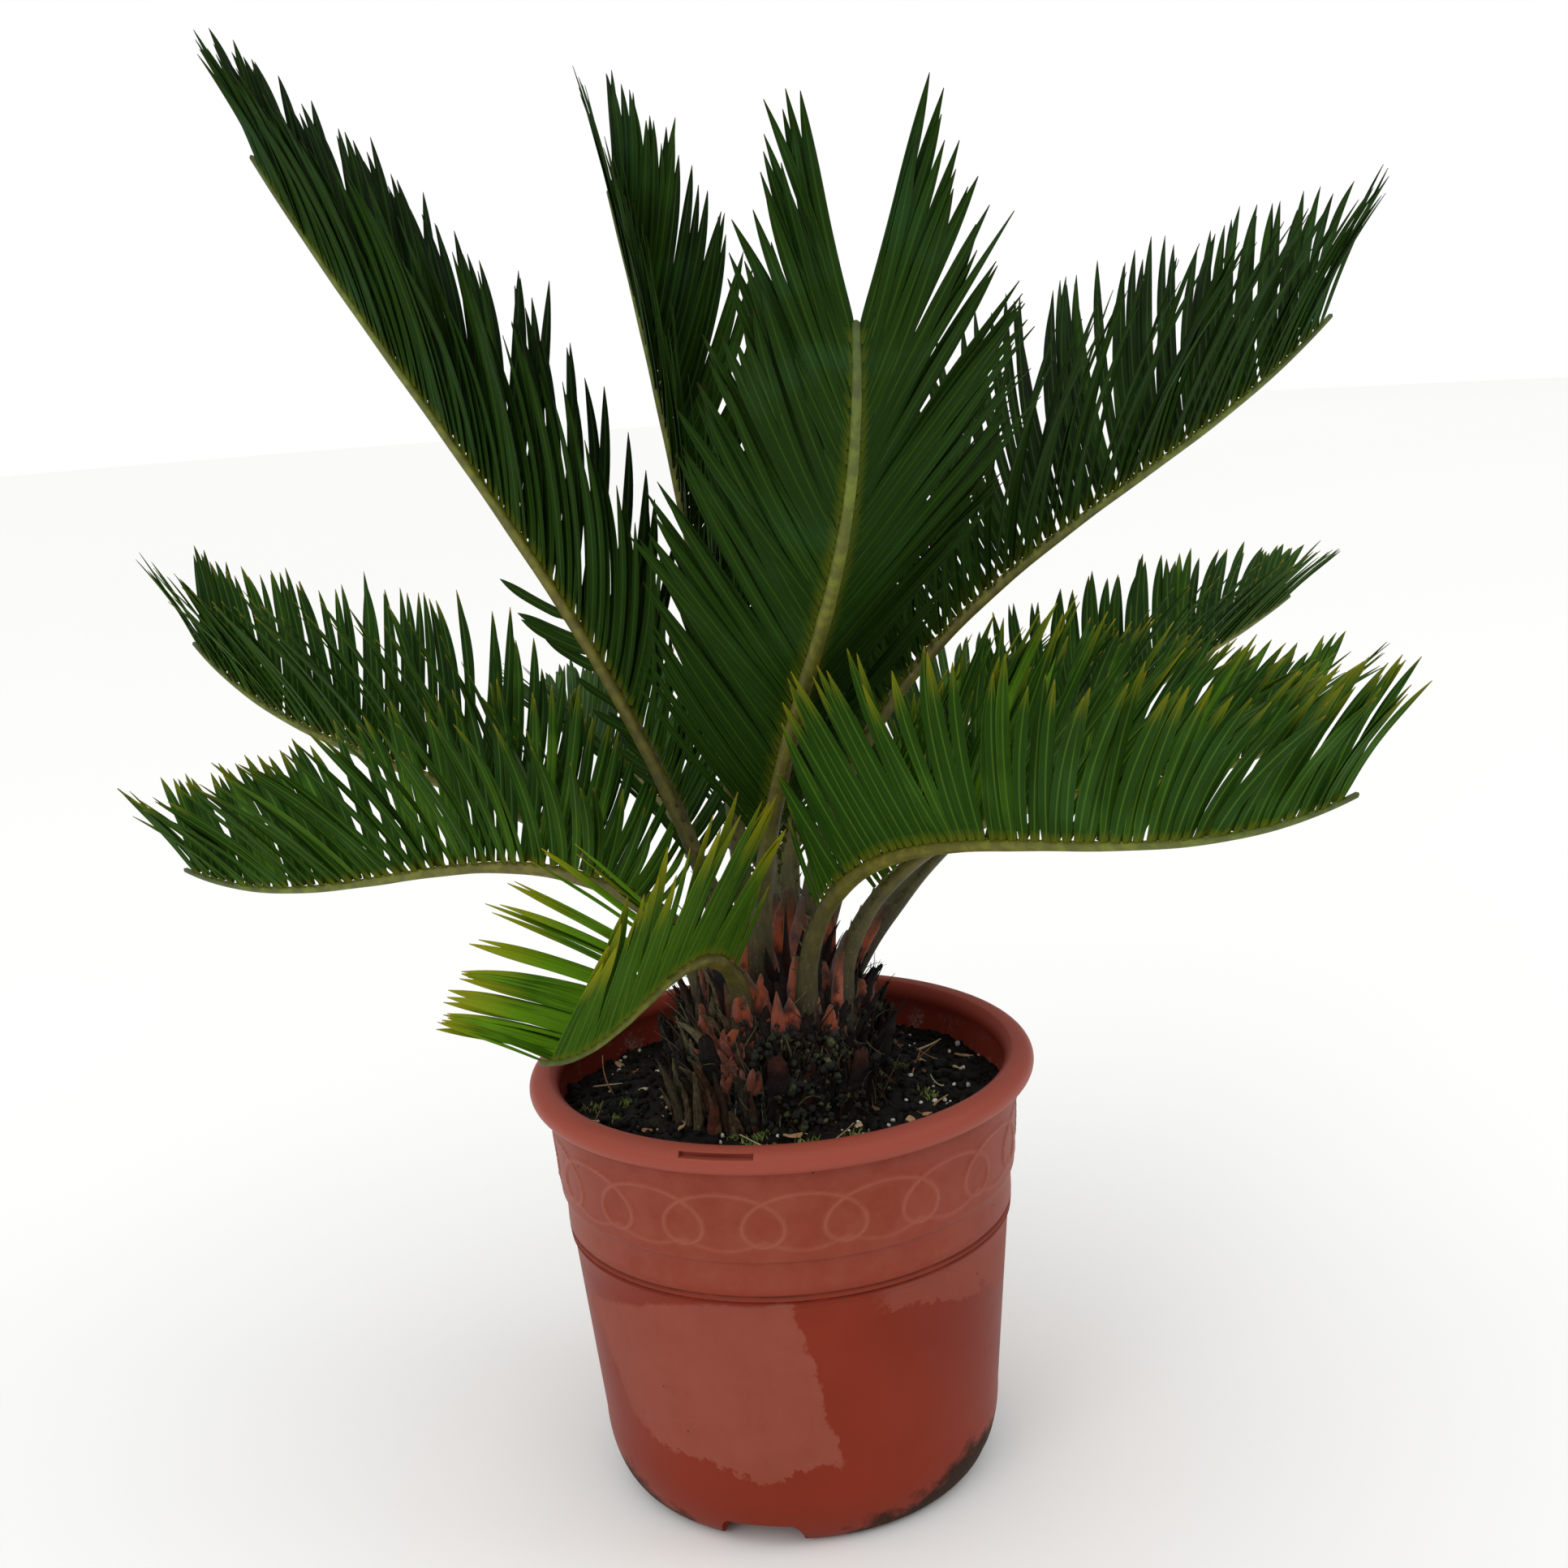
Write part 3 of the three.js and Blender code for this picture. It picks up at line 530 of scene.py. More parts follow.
def stalkOf(frond, number, rng):
    at = midlineOf(frond)
    rings, sides = stalkForm["rings"], stalkForm["sides"]
    share = np.linspace(0, 1, rings)
    place, along, side, above = at(share)
    radius = stemRadius(share)
    ripple = 1 + 0.03 * np.sin(share * 60 + number) + 0.025 * np.sin(share * 23 + 2 * number)
    flare = 1 + 0.7 * np.exp(-share * frond["length"] / 12)       # swollen foot
    angle = np.arange(sides) * 2 * math.pi / sides
    lifted = np.sin(angle)
    section = np.where(lifted > 0, 1 - stalkForm["topFlat"] * lifted ** 2, 1.0)
    groove = 1 - 0.10 * np.exp(-((angle - math.pi / 2) / 0.35) ** 2)
    r = (radius * ripple)[:, None] * section * groove
    x = r * np.cos(angle) * flare[:, None]
    y = r * np.sin(angle)
    ring = place[:, None] - side[:, None] * x[..., None] + above[:, None] * y[..., None]
    close = ring[-1].mean(0) + along[-1] * 1.5
    ring = np.concatenate([ring, (ring[-1:] - close) * 0.35 + close], 0)
    share = np.append(share, 1.0)
    shape = (1, rings + 1, sides)
    # the map wraps without a seam: across runs out and back
    around = np.abs(np.linspace(0, 2, sides, endpoint=False) - 1)
    uv = np.stack([np.broadcast_to(around, shape),
                   np.broadcast_to((share * frond["length"] * mm * 4)[None, :, None], shape)], -1)
    made = [closedTubes(ring[None] * mm, uv, stalkShare=np.broadcast_to(share[None, :, None], shape),
                        leafTone=np.full(1, frond["tone"]))]
    # spines along both edges of the bare stalk, longer towards the leaflets
    bareLength = plantShape["bareShare"] * frond["length"]
    spots = np.arange(14, bareLength + 6, stalkForm["spineEvery"]) / frond["length"]
    spines, spineShare = [], []
    for hand in (1, -1):
        where = spots + rng.normal(0, 0.0025, len(spots))
        p, a, s, v = at(where)
        outward = unit(s * hand + v * 0.45)
        root = p + outward * (stemRadius(where) * 0.82)[:, None]
        size = stalkForm["spineLength"] * (0.55 + 0.6 * where / plantShape["bareShare"])
        size = size * rng.uniform(0.7, 1.3, len(spots))
        point = unit(outward + a * rng.uniform(0.2, 0.9, len(spots))[:, None])
        t = np.array([0, 0.25, 0.6, 0.92])
        width = np.array([1.15, 0.8, 0.42, 0.08])
        sideA = unit(np.cross(point, v))
        sideB = unit(np.cross(point, sideA))
        angles = np.arange(6) * math.pi / 3
        centre = (root[:, None] + point[:, None] * (size[:, None] * t)[..., None]
                  + a[:, None] * (size[:, None] * 0.25 * t ** 2)[..., None])
        circle = (sideA[:, None] * np.cos(angles)[None, :, None]
                  + sideB[:, None] * np.sin(angles)[None, :, None])
        spines.append(centre[:, :, None] + circle[:, None] * width[None, :, None, None])
        spineShare.append(where)
    spines, spineShare = np.concatenate(spines), np.concatenate(spineShare)
    shape = spines.shape[:3]
    uv = np.stack([np.broadcast_to(np.linspace(0, 1, 6)[None, None], shape),
                   np.broadcast_to(np.linspace(0, 0.2, 4)[None, :, None], shape)], -1)
    made.append(closedTubes(spines * mm, uv, stalkShare=spineShare,
                            leafTone=np.full(len(spineShare), frond["tone"])))
    return made


# the bloom colour is a painted sheen, a blue-grey haze laid over the upper face
# the midrib colour is a painted highlight along the midrib and the margins of each leaflet
leafletColours = {
    "old": {   # upper, full-grown fronds
        "blade": [(0.0, "#081704"), (0.3, "#112504"), (0.6, "#203C04"), (1.0, "#305306")],
        "under": "#1D3705", "midribHighlight": "#3F5F18", "foot": "#565E10", "yellow": "#666A0C",
        "point": "#33280E", "paintedSheen": "#3F7464", "paintedSheenShare": 0.08,
    },
    "young": {   # lower fronds, sun-bleached and yellowing at the points
        "blade": [(0.0, "#0C2604"), (0.4, "#153503"), (0.7, "#244604"), (1.0, "#5A8510")],
        "under": "#213F06", "midribHighlight": "#5F7F20", "foot": "#666A14", "yellow": "#8B8A10",
        "point": "#967C22", "paintedSheen": "#4F8268", "paintedSheenShare": 0.06,
    },
}

print("fronds")
oldLeaf = cycadLeaflet("waxedOldCycadLeaflet", leafletColours["old"])
youngLeaf = cycadLeaflet("waxedYoungCycadLeaflet", leafletColours["young"])
stalkRind = cycadStalk()
leafletTotal = 0
for number, frond in enumerate(fronds, 1):
    rng = np.random.default_rng(plantShape["seed"] + number)
    upper = number <= 5
    stalk = meshOf(f"stalk_{number}", stalkOf(frond, number, rng), stalkRind)
    handOver(stalk, "frond_stalk", f"frond_{number}_stem")
    for hand, word in ((1, "right"), (-1, "left")):
        made, count = leafletRow(frond, hand, rng)
        row = meshOf(f"leaflets_{number}_{word}", [made], oldLeaf if upper else youngLeaf)
        handOver(row, "upper_leaflet" if upper else "lower_leaflet", f"frond_{number}_leaflets_{word}")
        leafletTotal += count
print("leaflets:", leafletTotal)


def arcPath(start, direction, towards, length, bend, steps):
    # n arcs that leave start along direction and turn towards a second direction by bend radians
    t = np.linspace(0, 1, steps)
    towards = unit(towards - direction * (towards * direction).sum(-1, keepdims=True))
    turned = (np.asarray(bend)[:, None] * t)[..., None]
    heading = direction[:, None] * np.cos(turned) + towards[:, None] * np.sin(turned)
    normal = towards[:, None] * np.cos(turned) - direction[:, None] * np.sin(turned)
    middle = (heading[:, 1:] + heading[:, :-1]) / 2 * (np.asarray(length) / (steps - 1))[:, None, None]
    line = start[:, None] + np.concatenate([np.zeros((len(start), 1, 3)), np.cumsum(middle, 1)], 1)
    return t, line, np.cross(heading, normal), normal


def bladeRings(line, across, normal, width, thickness, cup=0.0, sides=10):
    # flattened sections along each line; cup bends the margins back
    angle = np.arange(sides) * 2 * math.pi / sides
    x, y = np.cos(angle), np.sin(angle)
    out = thickness[..., None] * y - cup * width[..., None] * x ** 2
    sideways = across[:, :, None] * (width[..., None] * x)[..., None]
    return line[:, :, None] + sideways + normal[:, :, None] * out[..., None]


def bladeMap(rings):
    # across in x, out and back so that it wraps without a seam, along in y
    shape = rings.shape[:3]
    u = np.abs(np.linspace(0, 2, shape[2], endpoint=False) - 1)
    return np.stack([np.broadcast_to(u, shape),
                     np.broadcast_to(np.linspace(0, 1, shape[1])[None, :, None], shape)], -1)


def stripsOf(rings, stretch=(1, 1), shift=(0, 0), **values):
    # stretch and shift move the map, so that a strip takes its colours from part of the length
    return closedTubes(rings * mm, bladeMap(rings) * np.array(stretch) + np.array(shift), **values)


def polar(side, radius, height):
    side = np.asarray(side, float) * deg
    return np.stack([radius * np.cos(side), radius * np.sin(side), height + 0 * side], -1)


def outFrom(side):
    side = np.asarray(side, float) * deg
    return np.stack([np.cos(side), np.sin(side), 0 * side], -1)


def randomTurns(count, rng):
    turned, _ = np.linalg.qr(rng.normal(size=(count, 3, 3)))
    return turned * np.sign(np.linalg.det(turned))[:, None, None]


def blobs(centres, sizes, flat, rough, rng, **values):
    # irregular crumbs: an 80-sided ball, each one squashed, dented and turned its own way
    ball = bpy.data.meshes.new("ball")
    shape = bmesh.new()
    bmesh.ops.create_icosphere(shape, subdivisions=2, radius=1.0)
    shape.to_mesh(ball)
    shape.free()
    base = np.array([v.co for v in ball.vertices])
    tris = np.array([p.vertices for p in ball.polygons])
    bpy.data.meshes.remove(ball)
    count = len(centres)
    dents = 1 + rng.normal(0, rough, (count, len(base), 1))
    squash = rng.uniform(flat, 1.0, (count, 1, 3))
    points = np.einsum("nij,nkj->nki", randomTurns(count, rng), base[None] * dents * squash)
    points = points * np.asarray(sizes)[:, None, None] + centres[:, None]
    shift = (np.arange(count) * len(base))[:, None, None]
    part = {"points": points.reshape(-1, 3) * mm, "tris": (tris + shift).reshape(-1, 3)}
    for key, value in values.items():
        part[key] = np.repeat(value, len(base))
    return part


up = np.array([0.0, 0.0, 1.0])

# everything about the pot is in mm and degrees
potShape = {
    "height": 208, "rimRadius": 120, "rimHeight": 12.5, "rimWidth": 14,
    "footRadius": 81, "bodyRadius": 97, "cornerHeight": 35, "footHeight": 8, "floor": 3,
    "underBand": 107, "bandRadius": 111.5, "bandHeight": 44.5,
    "columns": 690,
    "scrollRings": 19, "ringAt": -96.5, "scrollSwing": 17.5, "scrollRise": 12.4, "scrollRadius": 110,
    "scrollHeight": 172, "lineHeight": 0.75, "lineWidth": 0.85,
    "slot": (33, 2.3), "slotFloor": 114.4, "slotDrop": 2.5, "front": -105,
    "notch": (37, 7.8), "notches": 4, "notchRise": 13, "notchReach": 84.5,
    "drainHoles": 6, "drainWidth": 12, "drainCircle": 46,
    "waves": (0.25, 0.15),               # moulded plastic is never quite round
}


def potProfile():
    # radius and height from the middle of the floor, up the inner wall, over the rim and down the outside
    p = potShape
    bandTop = p["height"] - p["rimHeight"]
    bandBottom = bandTop - p["bandHeight"]
    floorTop = p["footHeight"] + p["floor"]
    inner = [(7, floorTop), (30, floorTop), (60, floorTop), (76, floorTop), (81, floorTop + 0.6), (86, 17),
             (90.4, 24.5), (93, 31), (94.4, 39), (98.4, 77), (101.5, 114), (104.4, bandBottom), (106.6, 173),
             (108.4, bandTop - 2)]
    rollWide, rollTall = p["rimWidth"] / 2, p["rimHeight"] / 2
    rim = [(p["rimRadius"] - rollWide + rollWide * math.cos(a),
            p["height"] - rollTall + rollTall * math.sin(a)) for a in np.linspace(206, -84, 26) * deg]
    outer = [(p["bandRadius"] + 0.5, bandTop + 0.2)]
    for share in np.linspace(0, 1, 44):
        z = bandTop - 0.5 - share * (p["bandHeight"] - 2)
        outer.append((p["bandRadius"] + (p["underBand"] + 2 - p["bandRadius"]) * share, z))
    # under the band: its step, a plain strip, then the two grooves
    outer += [(108.9, bandBottom + 1.2), (108.4, bandBottom + 0.4), (107.4, bandBottom - 0.1),
              (107, bandBottom - 0.8), (107, 146), (107, 141), (107, 136.4), (106.9, 135.4), (106.2, 134.6),
              (105.9, 134.0), (106.2, 133.4), (106.8, 132.8), (106.7, 132.2), (105.9, 131.6), (105.5, 131.0),
              (105.8, 130.5), (106.5, 130), (106.4, 129.4), (105.6, 128.7), (105.2, 128)]
    outer += [(97 + (105.2 - 97) * share, 35 + 93 * share) for share in np.linspace(1, 0, 12)[1:]]
    outer += [(p["footRadius"] + (p["bodyRadius"] - p["footRadius"]) * math.sin(a),
               p["cornerHeight"] * (1 - math.cos(a))) for a in np.linspace(86, 8, 14) * deg]
    # the foot ring and the underside
    outer += [(81.8, 0.3), (81.2, 0.05), (80.6, 0), (75.6, 0), (75.1, 0.2), (75, 0.8), (75, 4), (75, 7.4),
              (74.4, 8), (60, 8), (30, 8), (7, 8)]
    return np.array(inner + rim + outer, float), bandTop, bandBottom, len(inner) + len(rim)


def scrollRelief(arc, height):
    # distance to a looping line that runs round the band with scallops under it, folded to one repeat
    p = potShape
    pitch = 2 * math.pi * p["scrollRadius"] / p["scrollRings"]
    t = np.linspace(0, 2 * math.pi, 300, endpoint=False)
    loop = (pitch * t / (2 * math.pi) + p["scrollSwing"] * np.sin(t)) % pitch, p["scrollRise"] * np.cos(t)
    share = np.linspace(0, 1, 120, endpoint=False)
    swag = 4.6 * np.abs(np.cos(math.pi * (share - 0.5)))
    scallop = (share - 0.5) * pitch % pitch, -p["scrollRise"] + 2.2 - swag
    folded = arc % pitch
    relief = np.zeros(arc.shape)
    for (xs, ys), strength in ((loop, 1.0), (scallop, 0.6)):
        best = np.full(arc.shape, 1e9)
        for px, py in zip(xs, ys):
            dx = np.abs(folded - px)
            dx = np.minimum(dx, pitch - dx)
            best = np.minimum(best, dx ** 2 + (height - py) ** 2)
        relief = np.maximum(relief, strength * np.exp(-best / p["lineWidth"] ** 2))
    return p["lineHeight"] * relief


def cutterOf(outline, depthFrom, depthTo, heading):
    # outline in the wall's own plane (sideways, up), pushed through from one radius to another
    outline = np.array(outline, float)
    sideways = np.array([-math.sin(heading * deg), math.cos(heading * deg), 0])
    rings = np.stack([polar(heading, depth, 0.0) + sideways * outline[:, :1] + up * outline[:, 1:]
                      for depth in (depthFrom, depthTo)])
    return closedTubes(rings[None] * mm, raised=np.zeros(1))


def mirrored(outline):
    return outline + [(-x, z) for x, z in outline[::-1]]


def buildPot(material):
    p = potShape
    profile, bandTop, bandBottom, innerCount = potProfile()
    columns = p["columns"]
    angle = np.arange(columns) * 2 * math.pi / columns
    radius = np.repeat(profile[:, 0][:, None], columns, 1)
    height = np.repeat(profile[:, 1][:, None], columns, 1)
    outside = np.arange(len(profile)) > innerCount
    band = outside & (profile[:, 1] > bandBottom + 1.5) & (profile[:, 1] < bandTop - 0.3)
    # the lines cross half a repeat from where they start, so that is where a ring stands
    arc = (angle - p["ringAt"] * deg) * p["scrollRadius"] + math.pi * p["scrollRadius"] / p["scrollRings"]
    relief = np.zeros_like(radius)
    relief[band] = scrollRelief(np.broadcast_to(arc, (band.sum(), columns)), height[band] - p["scrollHeight"])
    radius += relief
    oval, threeSided = p["waves"]
    wave = oval * np.sin(2 * angle + 0.6) + threeSided * np.sin(3 * angle + 2.0)
    radius += wave[None] * np.clip(height / 200, 0, 1) * (profile[:, 0] > 60)[:, None]
    rings = np.stack([radius * np.cos(angle), radius * np.sin(angle), height], -1)
    wall = closedTubes(rings[None] * mm, raised=(relief / p["lineHeight"])[None])
    pot = meshOf("nursery_pot", [wall], material)
    openings, corners = [], []
    wide, tall = p["notch"]
    half, rise = wide / 2, p["notchRise"]
    notch = mirrored([(-half - 7, -2), (-half - 4, 0.3), (-half - 1.6, 1.2), (-half - 0.3, 2.8),
                      (-half, 4.4), (-half + 0.8, 6.2), (-half + 2.4, tall)])
    corner = mirrored([(-half - 8, -2), (-half - 5, 1.2), (-half - 2.4, 3.0), (-half - 1.0, 5.6),
                       (-half - 0.3, 8.6), (-half + 0.8, rise - 2), (-half + 3, rise)])
    for i in range(p["notches"]):
        heading = p["front"] + i * 360 / p["notches"]
        openings.append(cutterOf(notch, 66, 96, heading))
        # the same notch cut on up into the round corner, which would hide it from above
        corners.append(cutterOf(corner, p["notchReach"], 104, heading))
    wide, tall = p["slot"]
    low = p["height"] - p["slotDrop"] - tall / 2
    high = p["height"] - p["slotDrop"] + tall / 2
    slot = [(-wide / 2, low), (wide / 2, low), (wide / 2, high), (-wide / 2, high)]
    openings.append(cutterOf(slot, p["slotFloor"], p["rimRadius"] + 4, p["front"]))
    a = np.arange(28) * 2 * math.pi / 28
    hole = np.stack([np.cos(a), np.sin(a), 0 * a], -1) * p["drainWidth"] / 2
    for i in range(p["drainHoles"]):
        ring = polar(i * 360 / p["drainHoles"], p["drainCircle"], 0.0) + hole
        openings.append(closedTubes(np.stack([ring + up * 4, ring + up * 15])[None] * mm, raised=np.zeros(1)))
    # cut in two passes, since the corner cutters overlap the notch cutters
    for cutters in (openings, corners):
        tool = meshOf("cutters", cutters, material)
        cut = pot.modifiers.new("openings", "BOOLEAN")
        cut.object, cut.operation, cut.solver = tool, "DIFFERENCE", "MANIFOLD"
        graph = bpy.context.evaluated_depsgraph_get()
        made = bpy.data.meshes.new_from_object(pot.evaluated_get(graph))
        pot.modifiers.clear()
        pot.data = made
        bpy.data.objects.remove(tool)
    made.name = "nursery_pot"
    made.polygons.foreach_set("use_smooth", np.full(len(made.polygons), True))
    made.set_sharp_from_angle(angle=38 * deg)
    return pot


# inside is a lighter copy of the plastic: painted light on the shaded inner wall
# line is a painted highlight on the raised scroll lines, which are the same plastic
# rim is a lighter copy of the clean plastic: painted light on the top of the pot
# soot darkens the real grit specks and, as painted shade, the two grooves under the band
potColours = {
    "clean": "#762614", "cleanLight": "#812C18", "bandFilm": "#8A4232", "rim": "#97483A", "insidePaintedLight": "#8A3527",
    "lime": "#884335", "limePale": "#904C3D", "line": "#B06C58",
    "algae": "#17190C", "gritAndGrooveShade": "#2A1B12", "speck": "#C9C2B4",
}
# stains end on ragged lines. Each row: the line runs along the height, the side or a slow drift, from and to,
# where it lies there (mm of height, or degrees round with the front at -90), mm or degrees of raggedness,
# which side of it is stained, softness, and where the stain fades out
potStains = {
    "filmRight": ("tall", 40, 128, -79, -91, 13, "under", 0.9, []),
    "filmLeft": ("tall", 40, 118, -136, -166, 26, "over", 4.0, []),
    "filmFoot": ("drift", -0.5, 0.5, 35, 51, 34, "over", 1.2, []),
    "filmTop": ("side", -160, -112, 108, 131, 9, "under", 2.0, []),
    "drips": ("side", -62, -12, 122, 94, 46, "over", 1.4, [("side", -72, -66), ("tall", 131, 130)]),
    "backFilm": ("drift", -0.5, 0.5, -17, 173, 60, "over", 1.4, [("side", 12, 26), ("tall", 131, 129)]),
    "algae": ("side", -86, -38, 3, 30, 46, "under", 9.0, []),
    "algaeLeft": ("side", -150, -118, 22, 4, 40, "under", 9.0, [("side", -60, -110)]),
}


def terracottaPlastic():
    # polypropylene, injection moulded in terracotta red: satin, waxy, with the dull bloom of old plastic;
    # hard-water lime has dried on it in a ragged-edged film, and algae sits in the bottom corner
    c = potColours
    material, tree = startMaterial("mouldedTerracottaPolypropylene")
    place = addNode(tree, "TexCoord").outputs["Object"]
    x, y, z = addNode(tree, "SeparateXYZ", (place,)).outputs
    turn = addNode(tree, "Math", (y, x), operation="ARCTAN2")
    side = addNode(tree, "Math", (turn, 1 / deg), operation="MULTIPLY")
    tall = addNode(tree, "Math", (z, 1 / mm), operation="MULTIPLY")
    ySquared = addNode(tree, "Math", (y, y), operation="MULTIPLY")
    radius = addNode(tree, "Math", (x, x, ySquared), operation="MULTIPLY_ADD")
    radius = addNode(tree, "Math", (radius,), operation="SQRT")
    rag = addNode(tree, "TexNoise", {"Vector": place, "Scale": 60.0, "Detail": 6.0, "Roughness": 0.68})
    slow = addNode(tree, "TexNoise", {"Vector": place, "Scale": 14.0, "Detail": 3.0})
    fine = addNode(tree, "TexNoise", {"Vector": place, "Scale": 900.0, "Detail": 2.0})
    ragged = addNode(tree, "Math", (rag, 0.5), operation="SUBTRACT")
    drift = addNode(tree, "Math", (slow, 0.5), operation="SUBTRACT")
    measures = {"side": side, "tall": tall, "drift": drift}
    stain = {}
    for name, (along, start, end, atStart, atEnd, raggedness, covers, softness, fades) in potStains.items():
        line = addNode(tree, "MapRange", (measures[along], start, end, atStart, atEnd))
        line = addNode(tree, "Math", (ragged, raggedness, line), operation="MULTIPLY_ADD")
        crossing = side if along == "tall" else tall
        ends = (crossing, line) if covers == "over" else (line, crossing)
        share = addNode(tree, "MapRange", (addNode(tree, "Math", ends, operation="SUBTRACT"), 0.0, softness))
        for measure, gone, full in fades:
            share = addNode(tree, "Math", (share, addNode(tree, "MapRange", (measures[measure], gone, full))),
                            operation="MULTIPLY")
        stain[name] = share
    film = stain["filmRight"]
    for name in ("filmLeft", "filmFoot", "filmTop"):
        film = addNode(tree, "Math", (film, stain[name]), operation="MULTIPLY")
    for name, strength in (("drips", 0.75), ("backFilm", 0.8)):
        weaker = addNode(tree, "Math", (stain[name], strength), operation="MULTIPLY")
        film = addNode(tree, "Math", (film, weaker), operation="MAXIMUM")
    lime = addNode(tree, "MixRGB", (addNode(tree, "MapRange", (rag, 0.3, 0.7)), c["lime"], c["limePale"]))
    algae = addNode(tree, "Math", (stain["algae"], stain["algaeLeft"]), operation="MAXIMUM")
    # dull film on the band, thin where hands rub it
    rubbed = addNode(tree, "MapRange", (rag, 0.34, 0.62, 0.5, 1.0))
    dull = addNode(tree, "MapRange", (tall, 131.0, 139.0))
    dull = addNode(tree, "Math", (dull, rubbed), operation="MULTIPLY")
    raised = addNode(tree, "Attribute", attribute_name="raised").outputs["Fac"]
    # the inner wall over the soil: painted light, a lighter copy of the plastic where the wall lies in shade
    halfway = addNode(tree, "MapRange", (tall, 151.0, 196.0, 0.1067, 0.1104))     # middle of the wall, m
    inner = addNode(tree, "Math", (halfway, radius), operation="SUBTRACT")
    inner = addNode(tree, "MapRange", (inner, 0.0, 0.0006))
    overSoil = addNode(tree, "MapRange", (tall, 180.0, 182.0))
    inner = addNode(tree, "Math", (inner, overSoil), operation="MULTIPLY")
    # painted shade: the two grooves under the band are darkened
    patchy = addNode(tree, "MapRange", (rag, 0.3, 0.55))
    groove = 0.0
    for height, reach in ((134.0, 0.9), (131.1, 0.8)):
        away = addNode(tree, "Math", (tall, height), operation="SUBTRACT")
        away = addNode(tree, "Math", (away,), operation="ABSOLUTE")
        grooveShade = addNode(tree, "MapRange", (away, reach, 0.2))
        grooveShade = addNode(tree, "Math", (grooveShade, patchy), operation="MULTIPLY")
        groove = addNode(tree, "Math", (groove, grooveShade), operation="MAXIMUM")
    # specks of grit, and perlite dust on the inside just over the soil
    grit = addNode(tree, "TexVoronoi", {"Vector": place, "Scale": 95.0, "Randomness": 1.0})
    pick = addNode(tree, "MapRange", (addNode(tree, "SeparateColor", (grit.outputs["Color"],)), 0.86, 0.88))
    specks = addNode(tree, "MapRange", (grit.outputs["Distance"], 0.075, 0.05))
    specks = addNode(tree, "Math", (specks, pick), operation="MULTIPLY")
    dust = inner
    for source, none, full in ((rag, 0.53, 0.6), (tall, 198.0, 188.0), (fine, 0.42, 0.6)):
        share = addNode(tree, "MapRange", (source, none, full))
        dust = addNode(tree, "Math", (dust, share), operation="MULTIPLY")
    # the plain plastic, then each layer over it with its strength
    cloudy = addNode(tree, "MapRange", (slow, 0.35, 0.65))
    body = addNode(tree, "MixRGB", (cloudy, c["clean"], c["cleanLight"]))
    lowest = addNode(tree, "MapRange", (tall, 34.0, 50.0, 1.0, 0.0))
    # painted light: the rim takes a lighter copy of the plastic's colour, for the light falling on the top of
    # the pot
    rimPaintedLight = addNode(tree, "MapRange", (tall, 193.5, 196.0))
    # the raised scroll lines are mixed lighter: painted highlight on the relief
    for share, strength, colour in (
            (lowest, 0.45, c["cleanLight"]), (film, 0.9, lime), (dull, 1.0, c["bandFilm"]),
            (raised, 0.34, c["line"]), (rimPaintedLight, 1.0, c["rim"]), (inner, 1.0, c["insidePaintedLight"]),
            (algae, 0.9, c["algae"]), (groove, 0.55, c["gritAndGrooveShade"]), (specks, 0.8, c["gritAndGrooveShade"]),
            (dust, 0.4, c["speck"])):
        covering = addNode(tree, "Math", (share, strength), operation="MULTIPLY")
        body = addNode(tree, "MixRGB", (covering, body, colour))
    rough = addNode(tree, "MapRange", (film, 0.0, 1.0, 0.44, 0.62))
    rough = addNode(tree, "Math", (ragged, 0.12, rough), operation="MULTIPLY_ADD")
    rough = addNode(tree, "Math", (algae, 0.25, rough), operation="MULTIPLY_ADD")
    # faint drag lines of the mould run up the wall, about 1 mm apart, under a fine satin texture
    acrossLines = addNode(tree, "Math", (side, 1.6), operation="MULTIPLY")
    alongLines = addNode(tree, "Math", (tall, 0.02), operation="MULTIPLY")
    dragSpace = addNode(tree, "CombineXYZ", (acrossLines, alongLines))
    drag = addNode(tree, "TexNoise", {"Vector": dragSpace, "Scale": 1.0, "Detail": 2.0})
    relief = 0.0
    for source, strength in ((drag, 0.5), (fine, 0.35), (film, 0.35)):
        relief = addNode(tree, "Math", (source, strength, relief), operation="MULTIPLY_ADD")
    bump = addNode(tree, "Bump", {"Height": relief, "Strength": 0.30, "Distance": 0.0002})
    finishMaterial(tree, {"Base Color": body, "Roughness": rough, "Normal": bump,
                          "IOR": 1.49, "Specular IOR Level": 0.12})
    return material


print("pot")
pot = buildPot(terracottaPlastic())
handOver(pot, "pot_plastic", "pot")


soilShape = {
    "height": 185, "mound": 4,       # mm: at the wall, and how much higher by the trunk
    "gap": 0.3,                      # mm between soil and pot
    "rough": 2.4,                    # mm of unevenness
    "crumbs": 1500, "perlite": 150, "chips": 46, "twigs": 34,
    "mossTufts": 26, "mossLeaves": 42,
    "seed": 5,
}
# radius and height up the inside of the pot
innerWall = np.array([(81, 11), (90.4, 24.5), (94.4, 39), (104.4, 151), (108.9, 195.5)], float)


def soilTop(x, y):
    # height of the soil before its crumbs, mm
    r = np.hypot(x, y)
    swell = soilShape["height"] + soilShape["mound"] * smoothStep((108 - r) / 58)
    spots = np.stack([x, y, 0 * x], -1).reshape(-1, 3)
    rough = lumps(spots, 22, 3, 2) * 1.0 + lumps(spots, 7, 4, 3) * 0.9
    return swell - 0.8 + (rough * soilShape["rough"]).reshape(x.shape) * 0.8


